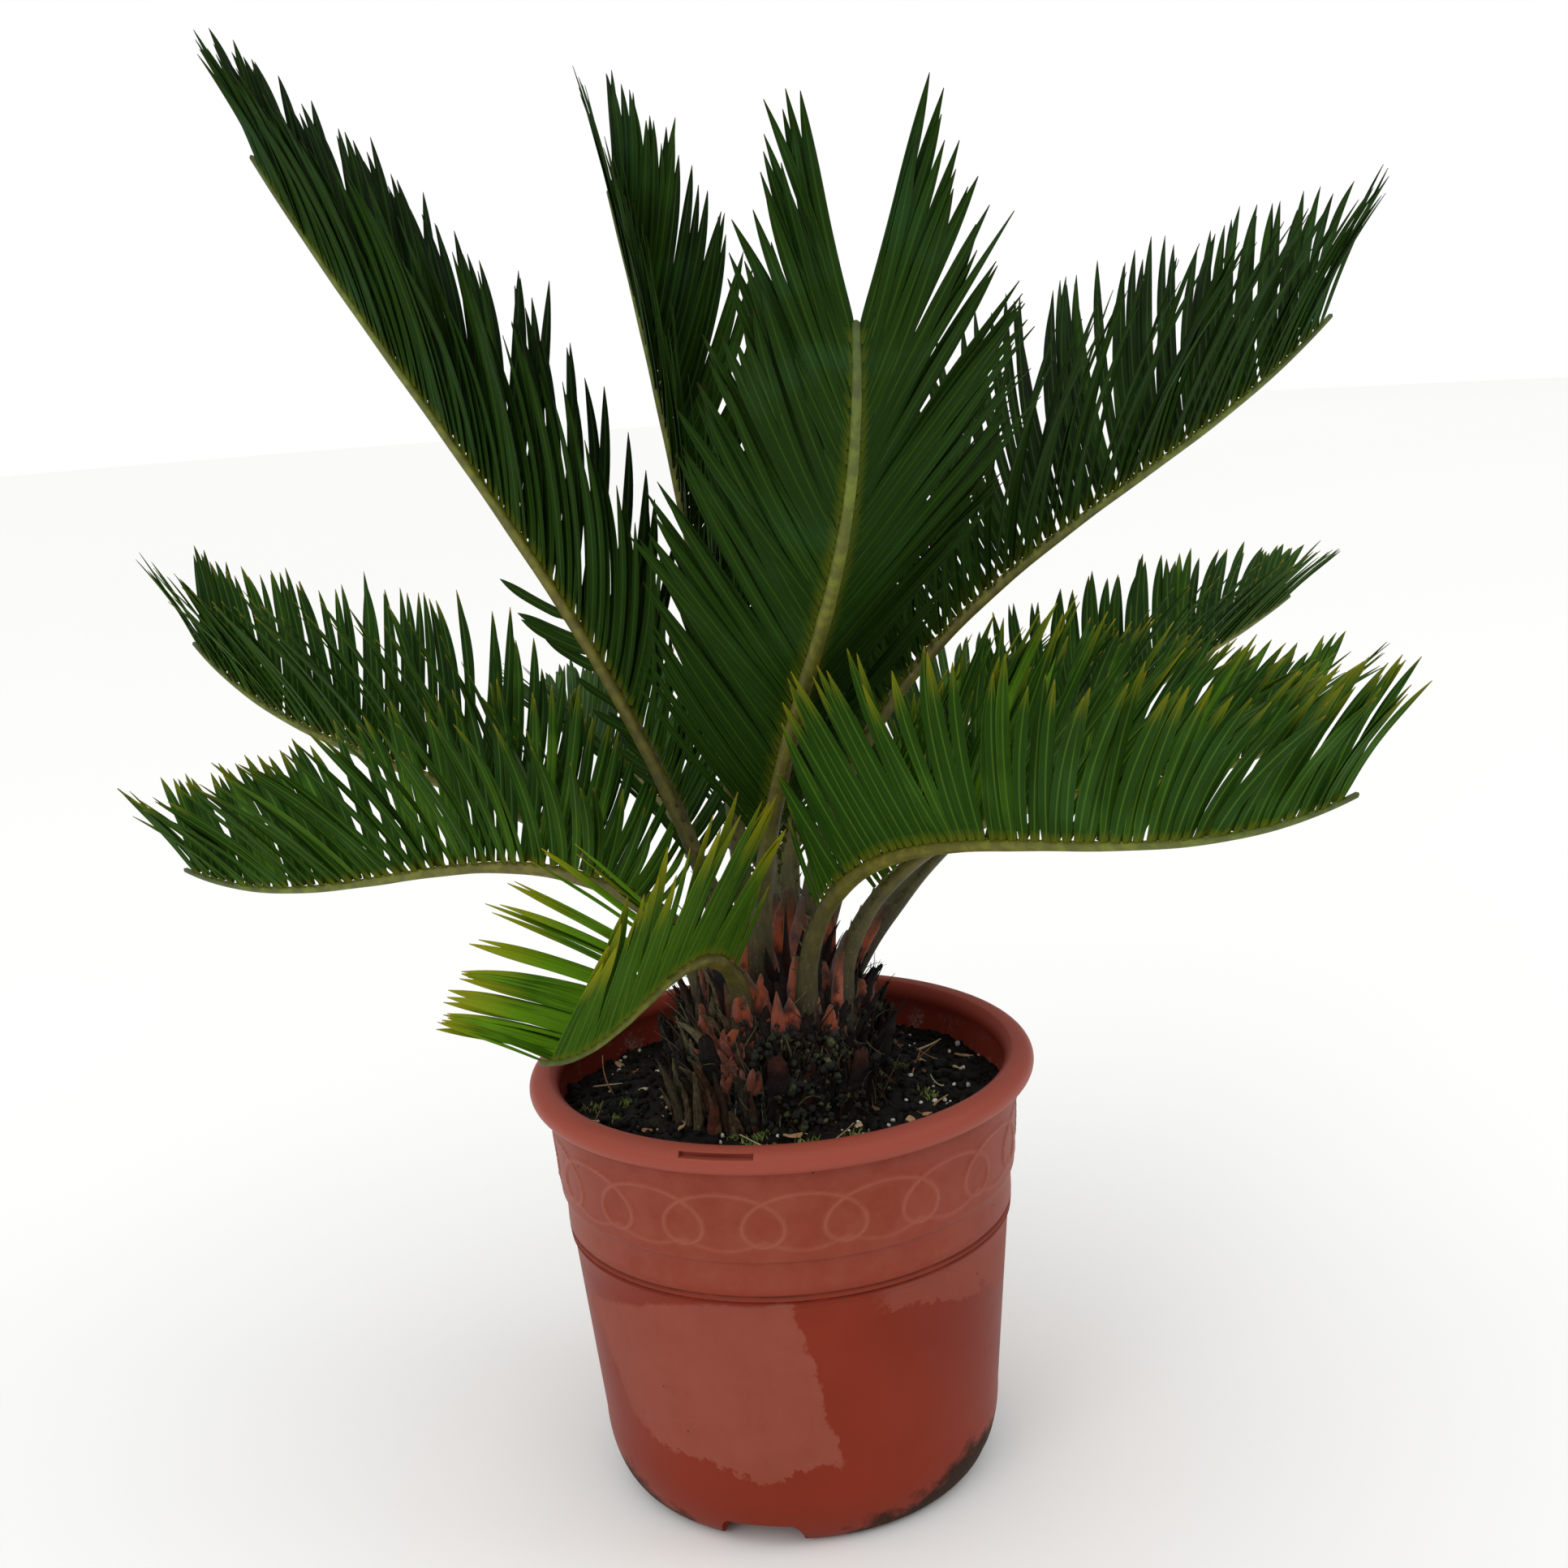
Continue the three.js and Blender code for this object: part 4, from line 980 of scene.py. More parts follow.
def compost(name, dark, pale):
    # peat and bark compost, wet: almost black crumbs with brown fibre in them, matt with small damp glints
    material, tree = startMaterial(name)
    place = addNode(tree, "TexCoord").outputs["Object"]
    grain = addNode(tree, "TexNoise", {"Vector": place, "Scale": 650.0, "Detail": 5.0, "Roughness": 0.7})
    patch = addNode(tree, "TexNoise", {"Vector": place, "Scale": 60.0, "Detail": 3.0})
    both = addNode(tree, "Math", (grain, patch), operation="MULTIPLY")
    colour = addNode(tree, "ValToRGB", (both,), [(0.12, dark), (0.32, "#0C0906"), (0.46, pale)])
    green = addNode(tree, "MapRange", (patch, 0.56, 0.7, 0.0, 0.35))
    colour = addNode(tree, "MixRGB", (green, colour, "#23260F"))
    wet = addNode(tree, "MapRange", (patch, 0.35, 0.65, 0.55, 0.9))
    bump = addNode(tree, "Bump", {"Height": grain, "Strength": 0.9, "Distance": 0.0012})
    finishMaterial(tree, {"Base Color": colour, "Roughness": wet, "Normal": bump, "Specular IOR Level": 0.2})
    return material


def scrapMaterial(name, stops, grainScale, bumpDepth, roughness):
    # colour by the tone stored on each scrap, broken up by grain
    material, tree = startMaterial(name)
    place = addNode(tree, "TexCoord").outputs["Object"]
    grain = addNode(tree, "TexNoise", {
        "Vector": place, "Scale": grainScale, "Detail": 4.0, "Roughness": 0.65})
    tone = addNode(tree, "Attribute", attribute_name="scrapTone").outputs["Fac"]
    shift = addNode(tree, "MapRange", (grain, 0.3, 0.7, -0.18, 0.18))
    where = addNode(tree, "Math", (tone, shift), operation="ADD")
    colour = addNode(tree, "ValToRGB", (where,), stops)
    rough = addNode(tree, "MapRange", (grain, 0.3, 0.7, roughness - 0.1, roughness + 0.1))
    bump = addNode(tree, "Bump", {"Height": grain, "Strength": 0.7, "Distance": bumpDepth})
    finishMaterial(tree, {"Base Color": colour, "Roughness": rough, "Normal": bump})
    return material


def buildSoil():
    rng = np.random.default_rng(soilShape["seed"])
    gap = soilShape["gap"]
    columns = 240
    angle = np.arange(columns) * 2 * math.pi / columns
    edge = np.interp(soilShape["height"], innerWall[:, 1], innerWall[:, 0]) - gap
    rings = []
    for radius in (8, 30, 55, 80.5):
        rings.append(np.stack([radius * np.cos(angle), radius * np.sin(angle), 0 * angle + 11 + gap], -1))
    for z in (14, 24.5, 39, 70, 100, 130, 151, 168, 180):
        radius = np.interp(z, innerWall[:, 1], innerWall[:, 0]) - gap
        rings.append(np.stack([radius * np.cos(angle), radius * np.sin(angle), 0 * angle + z], -1))
    for radius in np.linspace(edge - 0.2, 5, 84):
        x, y = radius * np.cos(angle), radius * np.sin(angle)
        rings.append(np.stack([x, y, soilTop(x, y)], -1))
    ground = meshOf("potting_compost", [closedTubes(np.stack(rings)[None] * mm)],
                    compost("wetPeatCompost", "#070504", "#3A2A1C"))
    handOver(ground, "potting_soil", "soil")

    def spread(count, low, high):
        # even over the ring of bare soil between two radii
        r = np.sqrt(rng.uniform(0, 1, count) * (high ** 2 - low ** 2) + low ** 2)
        a = rng.uniform(-180, 180, count)
        x, y = r * np.cos(a * deg), r * np.sin(a * deg)
        return np.stack([x, y, soilTop(x, y)], -1)
    # crumbs, mostly 1.5 to 4 mm with a few big lumps
    spots = spread(soilShape["crumbs"], 50, 106)
    size = np.clip(rng.lognormal(0.35, 0.5, len(spots)), 0.6, 4.2)
    spots[:, 2] += size * 0.25
    crumbs = meshOf("compost_crumbs", [blobs(spots, size, 0.5, 0.13, rng)],
                    compost("crumbledPeatCompost", "#090706", "#4A3524"))
    handOver(crumbs, "potting_soil")
    # perlite: expanded white volcanic glass
    spots = spread(soilShape["perlite"], 51, 106)
    size = rng.uniform(0.5, 1.5, len(spots))
    spots[:, 2] += size * 0.5
    perlite = scrapMaterial("expandedPerlite", [(0.0, "#8C8878"), (0.5, "#C2BEB0"), (1.0, "#DDD9CC")],
                            900.0, 0.0004, 0.8)
    tone = rng.uniform(0.1, 0.9, len(spots))
    beads = meshOf("perlite_beads", [blobs(spots, size, 0.6, 0.14, rng, scrapTone=tone)], perlite)
    handOver(beads, "potting_soil")
    # bark chips, leaf scraps and dry stalks lie flat or lean out
    parts = []
    count = soilShape["chips"]
    spots = spread(count, 54, 104)
    flat = unit(np.stack([rng.normal(size=count), rng.normal(size=count), rng.normal(0, 0.12, count)], -1))
    t, line, across, normal = arcPath(spots + up * 1.4, flat, np.tile(up, (count, 1)),
                                      rng.uniform(4, 11, count), rng.normal(0, 0.5, count), 7)
    width = (rng.uniform(1.2, 2.8, count)[:, None]) * (1 - 0.75 * np.abs(2 * t - 1) ** 2.5)
    thick = np.full_like(width, 0.55)
    rings = bladeRings(line, across, normal, width, thick, 0.15, 10)
    rings = rings + rng.normal(0, 0.16, rings.shape)
    parts.append(stripsOf(rings, scrapTone=rng.uniform(0, 1, count)))
    count = soilShape["twigs"]
    spots = spread(count, 54, 103)
    lean = unit(np.stack([rng.normal(size=count), rng.normal(size=count),
                          rng.uniform(0.0, 0.8, count) ** 2 * 1.6], -1))
    t, line, across, normal = arcPath(spots + up * 0.8, lean, unit(rng.normal(size=(count, 3))),
                                      rng.uniform(9, 26, count), rng.normal(0, 0.7, count), 8)
    width = rng.uniform(0.35, 0.75, count)[:, None] * (1 - 0.6 * t)
    rings = bladeRings(line, across, normal, width, width, 0.0, 7)
    parts.append(stripsOf(rings, scrapTone=rng.uniform(0.3, 1.1, count)))
    scraps = scrapMaterial("dryBarkAndStraw", [
        (0.0, "#3A2417"), (0.35, "#7A4A28"), (0.7, "#A9805A"), (1.0, "#B9AE86")], 500.0, 0.0006, 0.75)
    litter = meshOf("bark_chips_and_stalks", parts, scraps)
    handOver(litter, "potting_soil")
    # one broad pale scrap of dry leaf lies in front of the trunk
    t, line, across, normal = arcPath(np.array([[5.0, -75.0, 189.5]]), np.array([[1.0, 0.15, 0.0]]), up[None],
                                      np.array([17.0]), np.array([-0.5]), 14)
    width = (2.6 + 1.2 * np.sin(t * 7) * t)[None] * (1 - 0.5 * np.abs(2 * t - 1) ** 3)
    rings = bladeRings(line, across, normal, width, np.full_like(width, 0.35), 0.2, 14)
    rings = rings + rng.normal(0, 0.12, rings.shape)
    dryLeaf = scrapMaterial("dryLeafScrap", [(0.2, "#6E6A42"), (0.8, "#A8A27A")], 400.0, 0.0004, 0.7)
    scrap = meshOf("dry_leaf_scrap", [stripsOf(rings, scrapTone=np.array([0.6]))], dryLeaf)
    handOver(scrap, "potting_soil")
    # moss: tufts of short pointed leaves near the rim in front and by the trunk on the left
    places = []
    for centre, width, share in ((-97, 26, 0.4), (-128, 20, 0.25), (-48, 30, 0.2), (60, 180, 0.15)):
        n = int(soilShape["mossTufts"] * share)
        a = centre + rng.normal(0, width, n)
        r = np.where(rng.uniform(size=n) < 0.6, rng.uniform(92, 104, n), rng.uniform(56, 90, n))
        places.append(np.stack([r * np.cos(a * deg), r * np.sin(a * deg)], -1))
    places = np.repeat(np.concatenate(places), soilShape["mossLeaves"], 0)
    n = len(places)
    spots = places + rng.normal(0, 2.3, (n, 2))
    away = np.hypot(spots[:, 0], spots[:, 1])
    spots = spots * np.minimum(1, 105.5 / away)[:, None]          # none in the wall
    spots = np.concatenate([spots, soilTop(spots[:, 0], spots[:, 1])[:, None]], 1)
    lean = unit(up + rng.normal(0, 0.6, (n, 3)) * np.array([1, 1, 0.2]))
    t, line, across, normal = arcPath(spots - up * 0.3, lean, unit(rng.normal(size=(n, 3))),
                                      rng.uniform(2.0, 4.6, n), rng.uniform(0.2, 1.1, n), 5)
    width = rng.uniform(0.32, 0.6, n)[:, None] * np.array([0.7, 1.0, 0.9, 0.55, 0.12])
    rings = bladeRings(line, across, normal, width, width * 0.4, 0.2, 6)
    moss = scrapMaterial("livingMoss", [(0.0, "#2C3A14"), (0.5, "#5C6B22"), (1.0, "#93984A")],
                         300.0, 0.0003, 0.7)
    tufts = meshOf("moss_tufts", [stripsOf(rings, scrapTone=rng.uniform(0, 1, n))], moss)
    handOver(tufts, "potting_soil")


print("soil")
buildSoil()


trunkShape = {
    # height and radius
    "profile": [(145, 28.6), (161, 46.8), (185, 52), (205, 49), (228, 44), (246, 34), (250, 24), (251, 4)],
    "scales": 300, "mossLumps": 1100, "fibres": 760, "cataphylls": 30, "woollyStrips": 26,
    "hollowSide": -88, "hollowHeight": 238, "hollowDepth": 14,     # degrees and mm, the dent in front
    "seed": 23,
}


def trunkRadiusAt(height):
    profile = np.array(trunkShape["profile"], float)
    return np.interp(height, profile[:, 0], profile[:, 1])


def barkMaterial():
    # cycad trunk: old leaf bases, dead and rotting, dark brown cork, weathered grey-green, with rusty splits
    material, tree = startMaterial("weatheredCycadBark")
    place = addNode(tree, "TexCoord").outputs["Object"]
    uv = addNode(tree, "SeparateXYZ", (addNode(tree, "UVMap", uv_map="surfaceMap"),))
    tone = addNode(tree, "Attribute", attribute_name="barkTone").outputs["Fac"]
    rust = addNode(tree, "Attribute", attribute_name="rustShare").outputs["Fac"]
    threads = addNode(tree, "CombineXYZ", [
        addNode(tree, "Math", (source, scale), operation="MULTIPLY")
        for source, scale in ((uv.outputs[0], 14.0), (uv.outputs[1], 2.2), (tone, 50.0))])
    thread = addNode(tree, "TexNoise", {"Vector": threads, "Scale": 1.0, "Detail": 4.0, "Roughness": 0.7})
    mottle = addNode(tree, "TexNoise", {"Vector": place, "Scale": 160.0, "Detail": 5.0, "Roughness": 0.7})
    change = addNode(tree, "MapRange", (thread, 0.3, 0.7, -0.22, 0.22))
    value = addNode(tree, "Math", (tone, change), operation="ADD")
    colour = addNode(tree, "ValToRGB", (value,), [
        (0.0, "#070504"), (0.3, "#110C08"), (0.5, "#231810"), (0.7, "#433723"),
        (0.88, "#655D42"), (1.0, "#858062")])
    green = addNode(tree, "MapRange", (mottle, 0.5, 0.66, 0.0, 0.5))
    colour = addNode(tree, "MixRGB", (green, colour, "#12160A"))
    red = addNode(tree, "MapRange", (mottle, 0.35, 0.6, 1.0, 0.45))
    red = addNode(tree, "Math", (rust, red), operation="MULTIPLY")
    colour = addNode(tree, "MixRGB", (red, colour, "#743018"))
    height = addNode(tree, "Math", (thread, mottle), operation="ADD")
    bump = addNode(tree, "Bump", {"Height": height, "Strength": 0.9, "Distance": 0.0011})
    finishMaterial(tree, {"Base Color": colour, "Roughness": 0.82, "Normal": bump, "Specular IOR Level": 0.3})
    return material


def feltMaterial():
    # woolly felt on young leaf bases: rust orange, soft, short hairs all lying upwards, with painted shade in
    # the folds
    material, tree = startMaterial("rustyLeafBaseFelt")
    place = addNode(tree, "TexCoord").outputs["Object"]
    uv = addNode(tree, "SeparateXYZ", (addNode(tree, "UVMap", uv_map="surfaceMap"),))
    tone = addNode(tree, "Attribute", attribute_name="feltTone").outputs["Fac"]
    hairs = addNode(tree, "CombineXYZ", [
        addNode(tree, "Math", (source, scale), operation="MULTIPLY")
        for source, scale in ((uv.outputs[0], 30.0), (uv.outputs[1], 5.0), (tone, 30.0))])
    hair = addNode(tree, "TexNoise", {"Vector": hairs, "Scale": 1.0, "Detail": 4.0, "Roughness": 0.7})
    mottle = addNode(tree, "TexNoise", {"Vector": place, "Scale": 120.0, "Detail": 4.0})
    # up the blade: dark rusty foot, orange middle, then the green-brown of the stalk
    where = addNode(tree, "MapRange", (mottle, 0.3, 0.7, -0.14, 0.14))
    where = addNode(tree, "Math", (uv.outputs[1], where), operation="ADD")
    colour = addNode(tree, "ValToRGB", (where,), [
        (0.0, "#0C0705"), (0.2, "#26100A"), (0.38, "#8C3B1D"), (0.64, "#9C4A27"),
        (0.82, "#5A371B"), (1.0, "#3A3419")])
    # pale hair points, painted shade in the folds at the roots of the hair, rotten patches
    for pattern, none, full, strength, tint in (
            (hair, 0.52, 0.74, 0.4, "#93583C"), (hair, 0.5, 0.3, 0.85, "#2C120B"),
            (mottle, 0.5, 0.36, 0.8, "#1C0D08")):
        share = addNode(tree, "MapRange", (pattern, none, full, 0.0, strength))
        colour = addNode(tree, "MixRGB", (share, colour, tint))
    height = addNode(tree, "Math", (hair, mottle), operation="ADD")
    bump = addNode(tree, "Bump", {"Height": height, "Strength": 0.8, "Distance": 0.0009})
    finishMaterial(tree, {"Base Color": colour, "Roughness": 0.9, "Normal": bump, "Sheen Weight": 0.25,
                          "Sheen Roughness": 0.5, "Specular IOR Level": 0.2})
    return material


def trunkBody():
    columns, rows = 168, 92
    angle = np.arange(columns) * 2 * math.pi / columns
    height = np.concatenate([np.linspace(146, 246, rows - 8), [247.6, 249, 250, 250.5, 250.8, 251, 251, 251]])
    radius = trunkRadiusAt(height)
    radius[-3:] = (16, 9, 4)
    grid = np.stack([radius[:, None] * np.cos(angle), radius[:, None] * np.sin(angle),
                     np.repeat(height[:, None], columns, 1)], -1)
    flat = grid.reshape(-1, 3)
    bumps = lumps(flat * np.array([1, 1, 0.45]), 9, 7, 3) * 2.4 + lumps(flat, 3.2, 8, 2) * 0.8
    side = np.degrees(np.arctan2(flat[:, 1], flat[:, 0]))
    gap = np.hypot((side - trunkShape["hollowSide"]) * 0.75, flat[:, 2] - trunkShape["hollowHeight"])
    hollow = np.exp(-(gap / 8) ** 2)
    fromTop = np.clip((np.hypot(flat[:, 0], flat[:, 1]) - 5) / 20, 0, 1)
    push = (bumps - 1.2) * fromTop - hollow * trunkShape["hollowDepth"]
    outward = unit(flat * np.array([1, 1, 0]) + up * 1e-6)
    flat = flat + outward * push[:, None]
    grid = flat.reshape(grid.shape)
    # painted shade: the tone follows the relief, lighter on the lumps and darker in the dents, darkest in the
    # hollow in front
    tone = np.clip(0.28 + 0.06 * bumps - hollow * 0.6, 0, 1).reshape(1, rows, columns)
    around = np.abs(np.linspace(0, 2, columns, endpoint=False) - 1) * 12
    uv = np.stack([np.broadcast_to(around, (1, rows, columns)),
                   np.broadcast_to(((height - 146) / 30)[None, :, None], (1, rows, columns))], -1)
    return closedTubes(grid[None] * mm, uv, barkTone=tone, rustShare=np.zeros(1))


def trunkScales(rng):
    # old leaf bases in the spiral of a growing crown, each a cupped, pointed, frayed strip
    count = trunkShape["scales"]
    k = np.arange(count)
    side = (k * 137.508 + 20) % 360 - 180
    level = 174 + 62 * (k / count) ** 0.92 + rng.normal(0, 2, count)
    left = np.exp(-((side + 132) / 34) ** 2)
    centre = np.exp(-((side + 88) / 24) ** 2)
    slope = np.clip((level - 222) / 20, 0, 1)
    outward = outFrom(side)
    low = np.clip((206 - level) / 26, 0, 1)
    start = polar(side, trunkRadiusAt(level) - 3.0 + 15 * left * low, level)
    lean = (rng.normal(3, 6, count) + 2 - 14 * slope - 10 * left * low) * deg
    sway = rng.normal(0, 0.14, count)
    sideways = np.cross(up, outward)
    direction = unit(up * np.cos(lean)[:, None] + outward * np.sin(lean)[:, None] + sideways * sway[:, None])
    length = rng.uniform(13, 27, count) * (1 - 0.3 * centre) * (1 + 0.45 * left) * (1 - 0.2 * slope)
    bend = rng.normal(0.25, 0.28, count)
    t, line, across, normal = arcPath(start, direction, outward, length, bend, 12)
    outline = np.interp(t, [0, 0.15, 0.55, 0.8, 1], [0.9, 1.0, 0.82, 0.5, 0.1])
    width = rng.uniform(2.0, 4.2, count)[:, None] * outline
    thick = rng.uniform(1.3, 2.3, count)[:, None] * np.interp(t, [0, 0.5, 1], [1.0, 0.7, 0.2])
    rings = bladeRings(line, across, normal, width, thick, 0.3, 12)
    rings = rings + rng.normal(0, 0.28, rings.shape) * np.array([1, 1, 0.6])
    tone = np.clip(rng.normal(0.22, 0.14, count) + 0.58 * left - 0.1 * centre, 0.02, 0.95)
    rust = np.clip(rng.normal(-0.1, 0.2, count) + 0.55 * np.exp(-((side + 124) / 10) ** 2), 0, 1)
    lighter = np.broadcast_to((tone[:, None] + 0.12 * (t - 0.4))[:, :, None], rings.shape[:3])
    return stripsOf(rings, barkTone=lighter, rustShare=rust)


def trunkMoss(rng):
    # soft clumps of moss and crumbled bark filling the gaps between the old leaf bases, deepest in front
    count = trunkShape["mossLumps"]
    side = np.where(rng.uniform(size=count) < 0.6, rng.normal(-88, 26, count), rng.uniform(-180, 180, count))
    level = 180 + 58 * rng.uniform(0, 1, count) ** 0.9
    spots = polar(side, trunkRadiusAt(level) + rng.uniform(-1.5, 5.5, count), level)
    sizes = rng.uniform(0.7, 2.6, count)
    return blobs(spots, sizes, 0.45, 0.16, rng, scrapTone=rng.uniform(0, 1, count))


def trunkFibres(rng):
    # torn leaf-base threads standing and hanging on the trunk
    count = trunkShape["fibres"]
    side = rng.uniform(-180, 180, count)
    level = rng.uniform(186, 238, count)
    outward, sideways = outFrom(side), np.cross(up, outFrom(side))
    start = polar(side, trunkRadiusAt(level) + 0.5, level)
    sign = np.where(rng.uniform(size=count) < 0.72, 1.0, -1.0)
    direction = unit(up * sign[:, None] + outward * rng.uniform(0.05, 0.55, count)[:, None]
                     + sideways * rng.normal(0, 0.35, count)[:, None])
    towards = unit(outward + sideways * rng.normal(0, 0.8, count)[:, None])
    t, line, across, normal = arcPath(start, direction, towards, rng.uniform(8, 24, count),
                                      rng.normal(0.3, 0.6, count), 7)
    line[..., 2] = np.maximum(line[..., 2], soilShape["height"] + 0.5)     # hanging ones lie on the soil
    width = rng.uniform(0.3, 0.8, count)[:, None] * (1 - 0.75 * t)
    rings = bladeRings(line, across, normal, width, width * 0.5, 0.0, 5)
    left = np.exp(-((side + 132) / 36) ** 2)
    tone = np.clip(rng.normal(0.55, 0.28, count) + 0.4 * left, 0.05, 1.15)
    return stripsOf(rings, barkTone=tone, rustShare=np.clip(rng.normal(0.05, 0.25, count), 0, 1))


# side in degrees and height over the soil of each stump
stumps = [(-92, 15), (-48, 11), (-14, 19), (10, 13), (42, 20), (104, 18), (134, 13), (182, 19), (212, 11),
          (232, 22)]
stumpForm = {
    "length": 28, "lean": 62, "footRadius": 47, "radius": (7, 3.2), "wide": 1.15, "deep": 0.6,
    "bend": -0.35,                # radians, drooping
    "freshBreaks": (-92, -48),
}


def stumpOf(number, side, level, rng):
    # the broken-off foot of an old leaf stalk: ribbed, split at the end, pinkish where the break is fresh
    s = stumpForm
    outward = outFrom([side])
    lean = s["lean"] * deg
    direction = up * math.sin(lean) + outward * math.cos(lean)
    start = polar([side], s["footRadius"], soilShape["height"] + level)
    t, line, across, normal = arcPath(start, direction, outward, np.array([s["length"]]),
                                      np.array([s["bend"]]), 18)
    size = s["radius"][0] + (s["radius"][1] - s["radius"][0]) * t
    size = size * (1 + 0.07 * np.sin(t * 17 + number)) * np.interp(t, [0, 0.9, 1], [1, 0.9, 0.5])
    rings = bladeRings(line, across, normal, (size * s["wide"])[None], (size * s["deep"])[None], 0.12, 18)
    rings = rings + rng.normal(0, 0.42, rings.shape)
    rings[0, -1] += direction[0] * rng.uniform(-3, 1.5, 18)[:, None]
    fresh = 0.35 if side in s["freshBreaks"] else 0.0
    rust = np.interp(t, [0, 0.55, 0.9, 1], [0, 0.15, 1, 1]) * fresh
    tone = rng.uniform(0.1, 0.24) + 0.3 * t ** 3
    spread = rings.shape[:3]
    return stripsOf(rings, barkTone=np.broadcast_to(tone[None, :, None], spread),
                    rustShare=np.broadcast_to(rust[None, :, None], spread))


# side in degrees and height of each old base that is still woolly
woollyBases = [
    (-140, 224), (-134, 213), (-128, 207), (-122, 216), (-114, 232), (-108, 226), (-102, 242), (-97, 236),
    (-90, 230), (-82, 234), (-74, 246), (-66, 238), (-56, 230), (-48, 240), (-20, 232), (5, 226), (30, 232),
    (60, 228), (90, 234), (120, 226), (145, 232), (165, 224),
]


def leafBases(rng):
    # the felted foot of each living stalk, broad and flat against the trunk
    parts = []
    for frond in fronds:
        at = midlineOf(frond)
        reach = 46 / frond["length"]
        share = np.linspace(0, reach, 16)
        place, along, side, above = at(share)
        lead = place[0] - along[0] * np.array([16, 10, 5])[:, None]
        across = np.vstack([np.repeat(side[:1], 3, 0), side])[None]
        normal = np.vstack([np.repeat(above[:1], 3, 0), above])[None]
        # set back, so the stalk stands proud of its wings
        line = np.vstack([lead, place])[None] + normal * 2.6
        t = np.linspace(0, 1, line.shape[1])
        width = np.interp(t, [0, 0.2, 0.4, 0.6, 0.8, 1], [7.0, 11.4, 12.6, 9.4, 5.4, 2.6])[None]
        thick = np.interp(t, [0, 0.2, 0.5, 0.75, 1], [3.0, 3.4, 3.4, 2.8, 1.6])[None]
        rings = bladeRings(line, across, normal, width, thick, -0.12, 24)
        spots = rings.reshape(-1, 3)
        swell = (lumps(spots * np.array([1, 1, 0.4]), 4, 12, 2) * 0.9)[:, None]
        rings = rings + (unit(spots - np.repeat(line[0], 24, 0)) * swell).reshape(rings.shape)
        parts.append(stripsOf(rings, feltTone=rng.uniform(0, 1, 1)))
    # bases whose fronds were cut long ago, still woolly, between the living ones on the front left
    sides, levels = np.array(woollyBases, float).T
    n = len(sides)
    outward = outFrom(sides)
    start = polar(sides, trunkRadiusAt(levels) - 1.5, levels - 6)
    direction = unit(up + outward * 0.12)
    t, line, across, normal = arcPath(start, direction, outward, rng.uniform(17, 29, n),
                                      rng.uniform(-0.5, 0.1, n), 14)
    outline = np.interp(t, [0, 0.2, 0.6, 0.85, 1], [0.8, 1, 0.72, 0.34, 0.06])
    width = rng.uniform(4.0, 7.0, n)[:, None] * outline
    thick = rng.uniform(3.0, 4.6, n)[:, None] * np.interp(t, [0, 0.3, 1], [0.8, 1, 0.3])
    rings = bladeRings(line, across, normal, width, thick, 0.15, 18)
    spots = rings.reshape(-1, 3)
    rings = rings + (lumps(spots, 3, 14, 2) * 1.2).reshape(rings.shape[:3] + (1,)) * normal[:, :, None]
    parts.append(stripsOf(rings, stretch=(1, 0.72), feltTone=rng.uniform(0, 1, n)))
    # a heap of torn, woolly strips low on the left of the trunk
    n = trunkShape["woollyStrips"]
    sides = rng.normal(-122, 7, n)
    levels = rng.uniform(202, 226, n)
    outward = outFrom(sides)
    start = polar(sides, trunkRadiusAt(levels) + rng.uniform(1.0, 5.0, n), levels)
    direction = unit(up + outward * rng.uniform(-0.1, 0.5, n)[:, None]
                     + np.cross(up, outward) * rng.normal(0, 0.3, n)[:, None])
    t, line, across, normal = arcPath(start, direction, outward, rng.uniform(9, 20, n),
                                      rng.uniform(-0.9, 0.6, n), 12)
    width = rng.uniform(1.6, 3.6, n)[:, None] * np.interp(t, [0, 0.3, 0.8, 1], [0.6, 1, 0.6, 0.1])
    rings = bladeRings(line, across, normal, width, width * 0.4, 0.3, 12)
    parts.append(stripsOf(rings, stretch=(1, 0.4), shift=(0, 0.3), feltTone=rng.uniform(0, 1, n)))
    return parts


# the tall dark scale leaves that stand clear on the right and behind:
# side in degrees, distance from the axis, height, length, lean and half width
tallScales = [
    (-24, 42, 218, 38, 0.12, 4.2), (-16, 46, 208, 34, 0.5, 5.4), (-8, 40, 214, 30, 0.3, 4.4),
    (-34, 43, 206, 30, 0.2, 4.0), (-70, 16, 246, 40, 0.1, 2.6), (-64, 20, 246, 36, 0.35, 2.2),
]


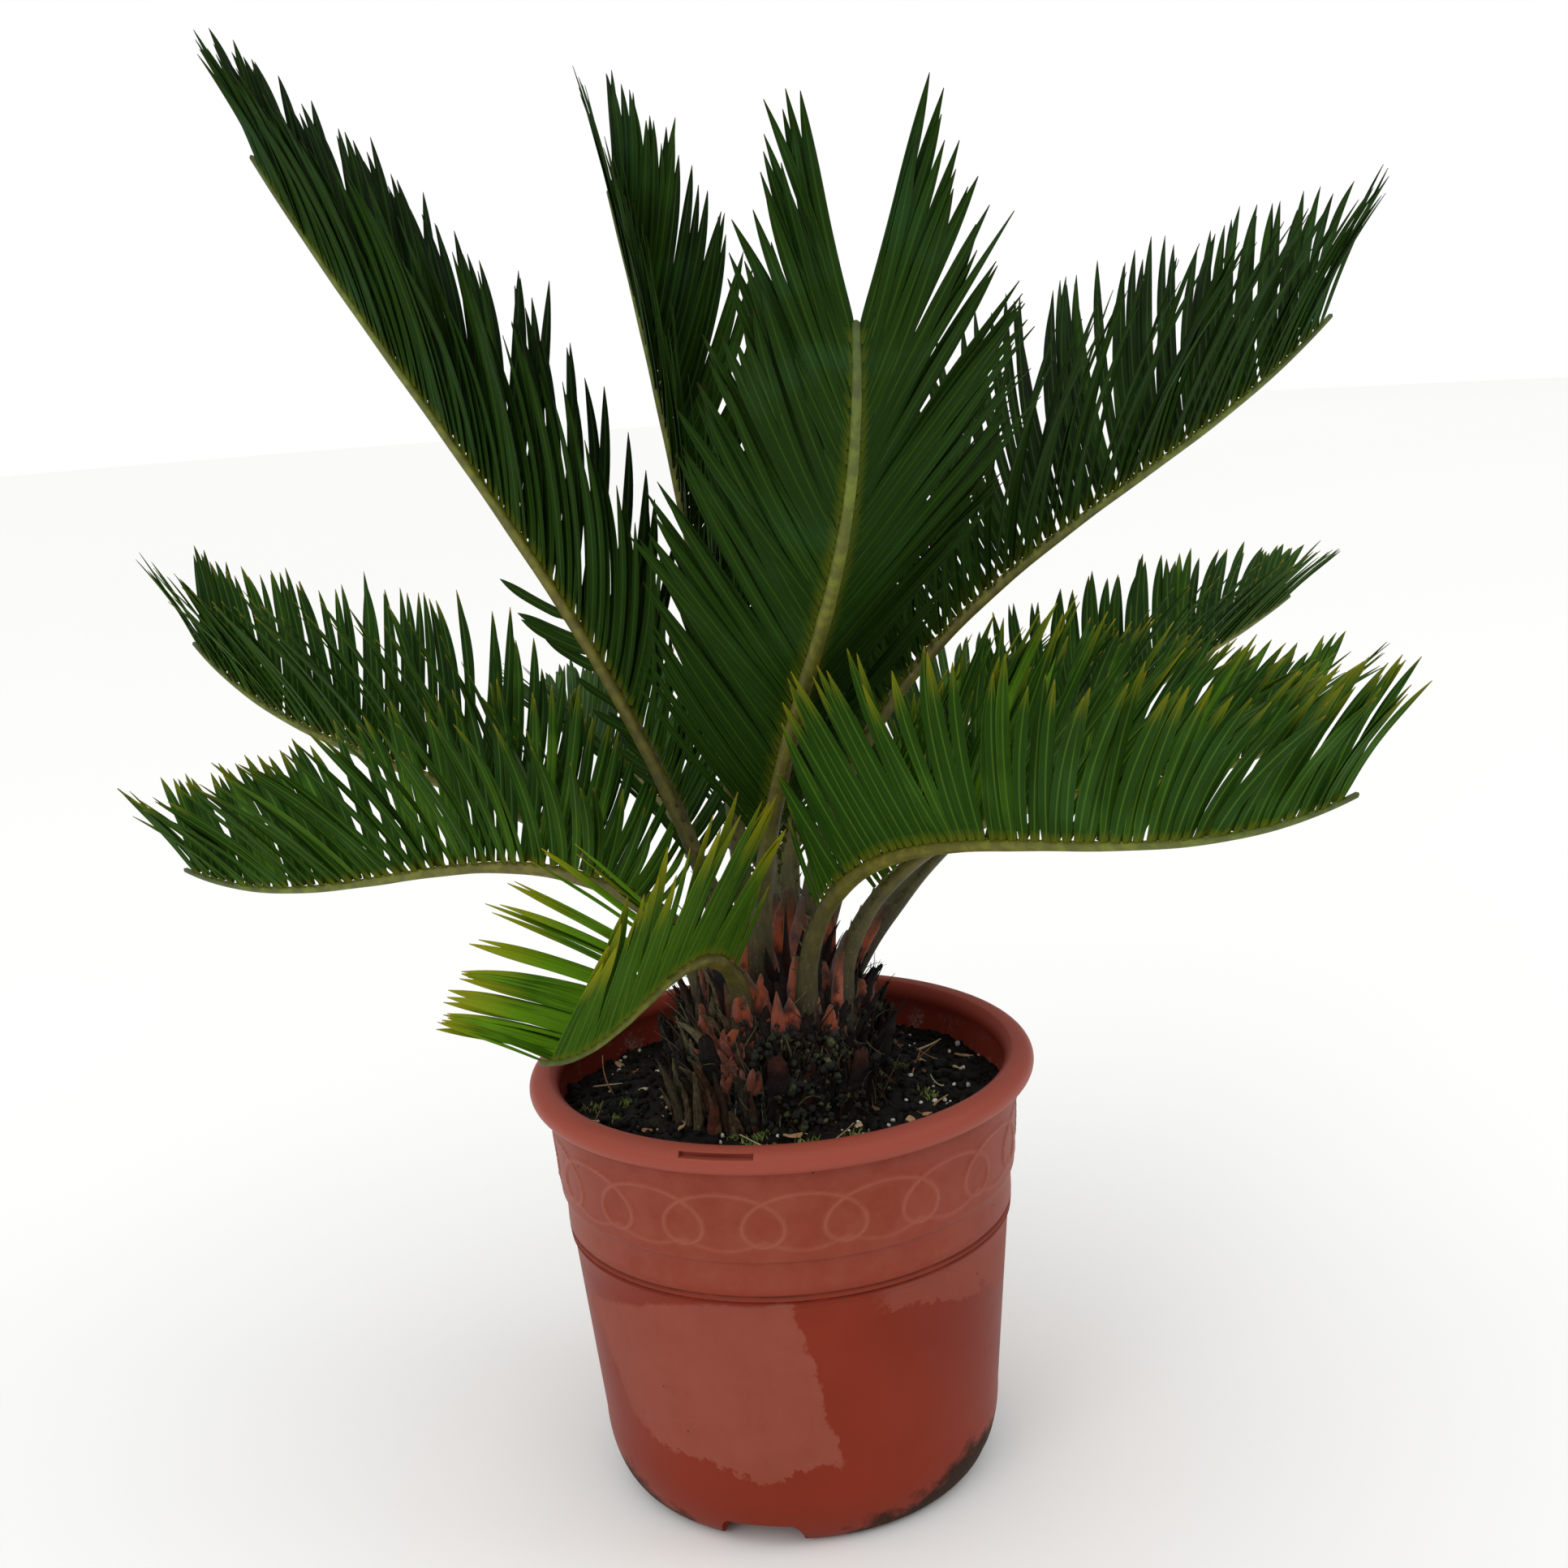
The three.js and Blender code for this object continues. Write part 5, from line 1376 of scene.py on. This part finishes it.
def cataphyllScales(rng):
    # sharp scale leaves between the stalks, brown below and black at the point
    count = trunkShape["cataphylls"]
    side = rng.uniform(-180, 180, count)
    radius = rng.uniform(14, 38, count)
    level = 246 - (radius - 14) * 0.5
    length = rng.uniform(16, 34, count)
    lean = rng.uniform(0.05, 0.5, count)
    wide = rng.uniform(2.2, 3.8, count)
    small = np.stack([side, radius, level, length, lean, wide], -1)
    side, radius, level, length, lean, wide = np.vstack([small, tallScales]).T
    outward = outFrom(side)
    start = radius[:, None] * outward
    start[:, 2] = level
    direction = unit(up + outward * lean[:, None])
    t, line, across, normal = arcPath(start, direction, outward, length, rng.normal(0.1, 0.2, len(side)), 12)
    width = wide[:, None] * np.interp(t, [0, 0.2, 0.5, 1], [0.9, 1, 0.62, 0.05])
    rings = bladeRings(line, across, normal, width, width * 0.28, 0.35, 12)
    spread = rings.shape[:3]
    tone = np.clip(0.42 - 0.5 * t, 0.0, 1)
    return stripsOf(rings, barkTone=np.broadcast_to(tone[None, :, None], spread),
                    rustShare=np.broadcast_to((0.5 * (1 - t) ** 2)[None, :, None], spread))


print("trunk")
trunkRng = np.random.default_rng(trunkShape["seed"])
bark = barkMaterial()
trunk = meshOf("trunk_body", [trunkBody()], bark)
handOver(trunk, "trunk_bark", "trunk")
handOver(meshOf("old_leaf_bases", [trunkScales(trunkRng)], bark), "trunk_bark")
trunkGreen = scrapMaterial("dampTrunkMoss", [
    (0.0, "#080705"), (0.45, "#12120A"), (0.75, "#1E2410"), (0.93, "#333A1A"), (1.0, "#5A5638")],
    900, 0.0006, 0.9)
handOver(meshOf("trunk_moss", [trunkMoss(trunkRng)], trunkGreen), "trunk_bark")
handOver(meshOf("trunk_fibres", [trunkFibres(trunkRng)], bark), "trunk_bark")
handOver(meshOf("felted_leaf_bases", leafBases(trunkRng), feltMaterial()), "trunk_bark")
handOver(meshOf("scale_leaves", [cataphyllScales(trunkRng)], bark), "trunk_bark")
for number, (side, level) in enumerate(stumps, 1):
    stub = meshOf(f"stalk_stub_{number}", [stumpOf(number, side, level, trunkRng)], bark)
    handOver(stub, "trunk_bark", f"stump_{number}")
